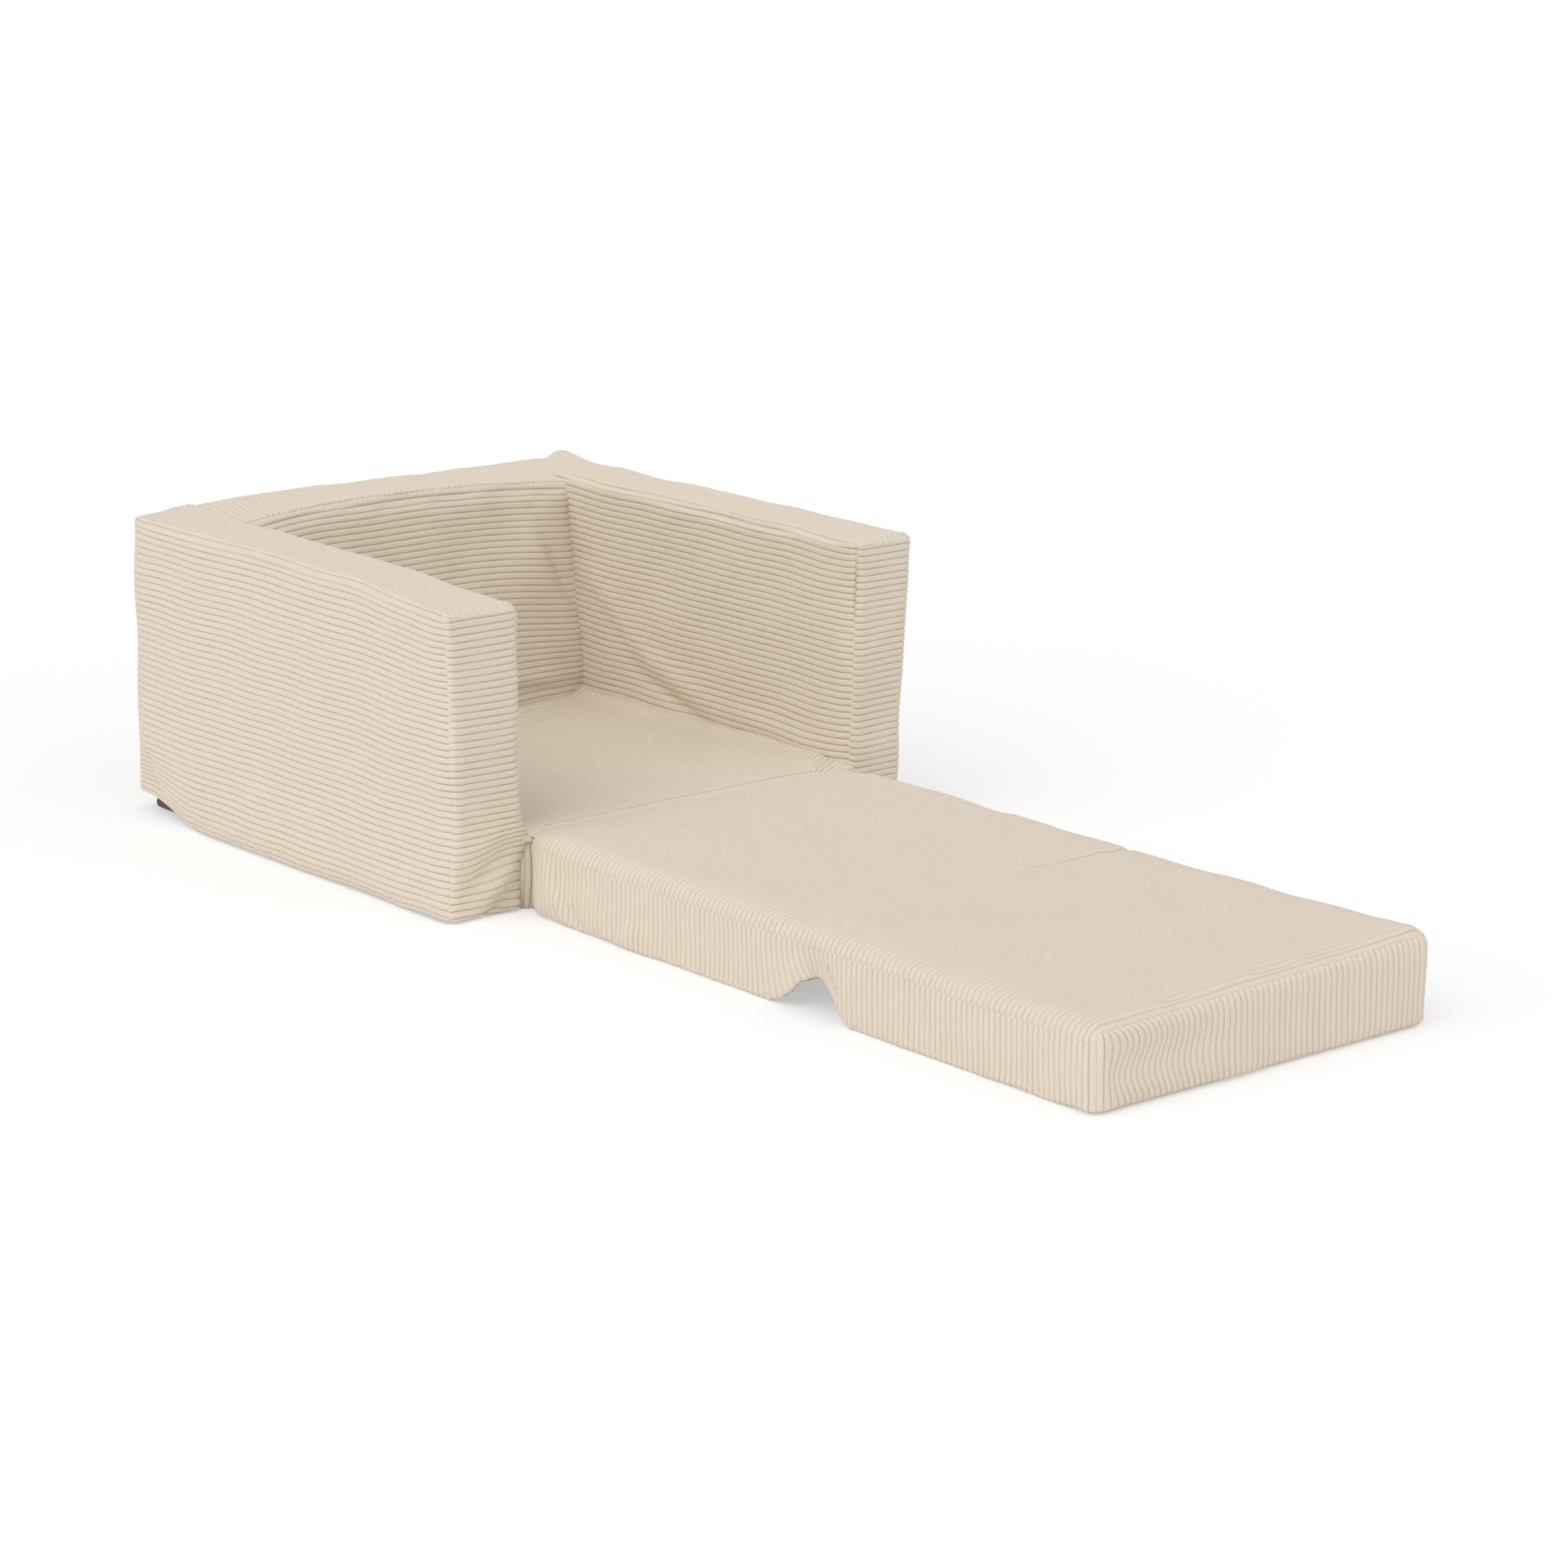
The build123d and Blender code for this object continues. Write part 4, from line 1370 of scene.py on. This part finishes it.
class ARMCHAIR_OT_foam(bpy.types.Operator):
    """Cut the foam cores that fill the covers"""

    bl_idname = "armchair.foam"
    bl_label = "Foam cores"

    def execute(self, context):
        for node, body, inset, sign in (
            ("left_arm_foam", "shell", ARM_INSET, 0),
            ("right_arm_foam", "shell", ARM_INSET, 0),
            ("back_foam", "shell", BACK_INSET, 0),
            ("base_foam", "shell", BASE_INSET, 0),
            ("seat_pad_foam", "seat_pad", PAD_INSET, 1),
            ("backrest_pad_foam", "backrest_pad", PAD_INSET, -1),
        ):
            low, high = (np.array(corner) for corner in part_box(node))
            if node == "base_foam":
                high[2] -= SAG_ROOM
            block = foam_block(node + "_core", low + inset, high - inset)
            if sign:
                mitre_foam(block, sign)
            if node == "back_foam":
                lean_foam(block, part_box("back_top_panel")[0][1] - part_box("back_inner_panel")[0][1])
            soften(block, CORE_ROUNDING)
            dress(block, body, "foam", node)
        return {"FINISHED"}


class ARMCHAIR_OT_base_cloth(bpy.types.Operator):
    """Stretch the dark cloth under the shell and a little way up its sides"""

    bl_idname = "armchair.base_cloth"
    bl_label = "Base cloth"

    def execute(self, context):
        low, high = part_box("base_cloth")
        rim = 0.014
        corner = 0.016
        thickness = 0.0012
        front_inset = 0.008
        floor = FLOOR_GAP + thickness
        cage = Cage(
            spaced(low[0], high[0], 0.02, 0.03, 0.03),
            spaced(low[1] + front_inset, high[1], 0.02, 0.03, 0.03),
            np.array([floor, 0.004, 0.008, floor + rim]),
        )
        points = cage.rounded((corner, corner, 0.004), (corner, corner, 0.0001))
        index = cage.index
        sides = (index[:, :, 0].T, index[0].T, index[-1], index[:, 0], index[:, -1].T)
        quads = np.concatenate([side_quads(side) for side in sides])
        sheet = net_object("base_cloth_sheet", points, quads)[0]
        add_backing(sheet, thickness)
        sheet.data.materials.append(bpy.data.materials["base_cloth"])
        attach(sheet, "shell")
        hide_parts("base_cloth")
        return {"FINISHED"}


# Zips


class ARMCHAIR_OT_zips(bpy.types.Operator):
    """Finish the zip tapes, coils, sliders and pulls"""

    bl_idname = "armchair.zips"
    bl_label = "Zips"

    def execute(self, context):
        finishes = {"tape": "zip_tape", "coil": "zip_coil", "slider": "zip_metal", "pull": "zip_metal"}
        for zip_name in ("shell", "seat_pad", "backrest_pad"):
            for part, finish in finishes.items():
                solid = frame["nodes"][f"{zip_name}_zip_{part}"]
                solid.data.materials.clear()
                solid.data.materials.append(bpy.data.materials[finish])
        return {"FINISHED"}


# Own meshes for the shell's arm, back and base pieces

LEFT_ARM = ("left_arm_wrap_cloth", "left_arm_front_cloth", "left_arm_foam_core")
RIGHT_ARM = ("right_arm_wrap_cloth", "right_arm_front_cloth", "right_arm_foam_core")
BACK = ("back_inner_cloth", "back_top_cloth", "back_foam_core")
BASE = ("base_top_cloth", "base_front_cloth", "base_foam_core")


class ARMCHAIR_OT_fold_give(bpy.types.Operator):
    """Give each arm, back and base piece of the shell a mesh of its own"""

    bl_idname = "armchair.fold_give"
    bl_label = "Give at the fold"

    def execute(self, context):
        for names, axis, anchor, keep in (
            (LEFT_ARM, (1, 0, 0), (-0.272, 0, 0), 0.90),
            (RIGHT_ARM, (1, 0, 0), (0.275, 0, 0), 0.92),
            (BACK, (0, 1, 0), (0, 0.645, 0), 0.90),
            (BASE, (0, 0, 1), (0, 0, 0), 0.95),
        ):
            for name in names:
                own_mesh(bpy.data.objects[name])
        return {"FINISHED"}


# Stage

WHITE = (1, 1, 1, 1)
FLOOR_SIZE = 60
FLOOR_GLOW = 1.04
GLOW_SHARE = 0.45
LIGHT_SPREAD = math.radians(60)
KEY_PLACE = Vector((-2.9, -0.4, 2.9))
FILL_PLACE = Vector((0.6, -3.0, 2.6))
SENSOR_WIDTH = 36
FAR_CLIP = 200


def seen_directly(tree):
    """1 for rays that show a surface itself, straight or in a gloss or through glass, and 0 for its light."""
    rays = add_node(tree, "ShaderNodeLightPath").outputs
    direct = combine(tree, "MAXIMUM", rays["Is Camera Ray"], rays["Is Glossy Ray"])
    return combine(tree, "MAXIMUM", direct, rays["Is Transmission Ray"])


def mix_shader(tree, share, first, second):
    """One shader or another, by a linked share."""
    return add_node(tree, "ShaderNodeMixShader", {}, {}, {0: share, 1: first, 2: second}).outputs["Shader"]


def light_sky(strength):
    """White all round: a plain level on the chair, and white where it is seen directly."""
    world = bpy.data.worlds.new("studio")
    bpy.context.scene.world = world
    world.use_nodes = True
    tree = world.node_tree
    tree.nodes.clear()
    light, seen = (
        add_node(tree, "ShaderNodeBackground", {}, {"Color": WHITE, "Strength": level}).outputs["Background"]
        for level in (strength, 1.0)
    )
    mixed = mix_shader(tree, seen_directly(tree), light, seen)
    add_node(tree, "ShaderNodeOutputWorld", {}, {}, {"Surface": mixed})


def lay_floor(colour):
    """A pale floor that takes soft shadows and runs into the white behind it."""
    bpy.ops.object.select_all(action="DESELECT")
    bpy.ops.mesh.primitive_plane_add(size=FLOOR_SIZE, location=(0, 0, 0))
    floor = bpy.context.object
    floor.name = "floor"
    tree = new_material("floor")
    matt = add_node(tree, "ShaderNodeBsdfDiffuse", {}, {"Color": (*colour, 1)}).outputs["BSDF"]
    glow = add_node(tree, "ShaderNodeEmission", {}, {"Color": WHITE, "Strength": FLOOR_GLOW})
    lit = add_node(
        tree, "ShaderNodeMixShader", {}, {0: GLOW_SHARE}, {1: matt, 2: glow.outputs["Emission"]}
    ).outputs["Shader"]
    shown = mix_shader(tree, seen_directly(tree), matt, lit)
    add_node(tree, "ShaderNodeOutputMaterial", {}, {}, {"Surface": shown})
    floor.data.materials.append(bpy.data.materials["floor"])


class ARMCHAIR_OT_stage(bpy.types.Operator):
    """Set the camera, the soft light and the pale floor"""

    bl_idname = "armchair.stage"
    bl_label = "Stage"

    def execute(self, context):
        stage = context.scene.armchair_stage
        scene = context.scene
        scene.view_settings.view_transform = "Standard"
        light_sky(stage.sky_strength)
        lay_floor(stage.floor_colour)
        for name, strength, place in (
            ("key_light", stage.key_strength, KEY_PLACE),
            ("fill_light", stage.fill_strength, FILL_PLACE),
        ):
            bpy.ops.object.light_add(type="SUN", location=place)
            lamp = context.object
            lamp.name = name
            lamp.data.energy = strength
            lamp.data.angle = LIGHT_SPREAD
            lamp.rotation_euler = (-place).to_track_quat("-Z", "Y").to_euler()
        azimuth, elevation = stage.camera_azimuth, stage.camera_elevation
        level = math.cos(elevation)
        back = Vector((math.sin(azimuth) * level, -math.cos(azimuth) * level, math.sin(elevation)))
        right = Vector((math.cos(azimuth), math.sin(azimuth), 0))
        up = back.cross(right)
        place = Vector((0, SEAT_FOLD_Y, 0)) + right * stage.camera_right + up * stage.camera_up
        bpy.ops.object.camera_add(location=place + back * stage.camera_distance)
        camera = context.object
        camera.rotation_euler = (math.pi / 2 - elevation, 0, azimuth)
        camera.data.lens = stage.camera_lens
        camera.data.sensor_width = SENSOR_WIDTH
        camera.data.clip_end = FAR_CLIP
        scene.camera = camera
        return {"FINISHED"}


class ARMCHAIR_PT_builder(bpy.types.Panel):
    """Lists the armchair's settings and its steps"""

    bl_idname = "ARMCHAIR_PT_builder"
    bl_label = "Kids folding armchair"
    bl_space_type = "VIEW_3D"
    bl_region_type = "UI"
    bl_category = "Armchair"

    def draw(self, context):
        for settings in (context.scene.armchair_cover, context.scene.armchair_stage):
            for name in settings.__annotations__:
                self.layout.prop(settings, name)
        for step in STEPS:
            self.layout.operator(step.bl_idname)


STEPS = (
    ARMCHAIR_OT_finishes,
    ARMCHAIR_OT_arms,
    ARMCHAIR_OT_back,
    ARMCHAIR_OT_seat_base,
    ARMCHAIR_OT_mattress,
    ARMCHAIR_OT_foam,
    ARMCHAIR_OT_base_cloth,
    ARMCHAIR_OT_zips,
    ARMCHAIR_OT_fold_give,
    ARMCHAIR_OT_stage,
)
CLASSES = (ArmchairCoverSettings, ArmchairStageSettings, *STEPS, ARMCHAIR_PT_builder)


def register():
    """Make the settings, steps and sidebar panel known to Blender."""
    for made in CLASSES:
        bpy.utils.register_class(made)
    bpy.types.Scene.armchair_cover = PointerProperty(type=ArmchairCoverSettings)
    bpy.types.Scene.armchair_stage = PointerProperty(type=ArmchairStageSettings)


def unregister():
    """Take them out again."""
    del bpy.types.Scene.armchair_stage
    del bpy.types.Scene.armchair_cover
    for made in reversed(CLASSES):
        bpy.utils.unregister_class(made)


def main():
    """Build the armchair's looks in order."""
    register()
    bpy.ops.armchair.finishes()
    bpy.ops.armchair.arms()
    bpy.ops.armchair.back()
    bpy.ops.armchair.seat_base()
    bpy.ops.armchair.mattress()
    bpy.ops.armchair.foam()
    bpy.ops.armchair.base_cloth()
    bpy.ops.armchair.zips()
    bpy.ops.armchair.fold_give()
    bpy.ops.armchair.stage()


if __name__ == "__main__":
    main()
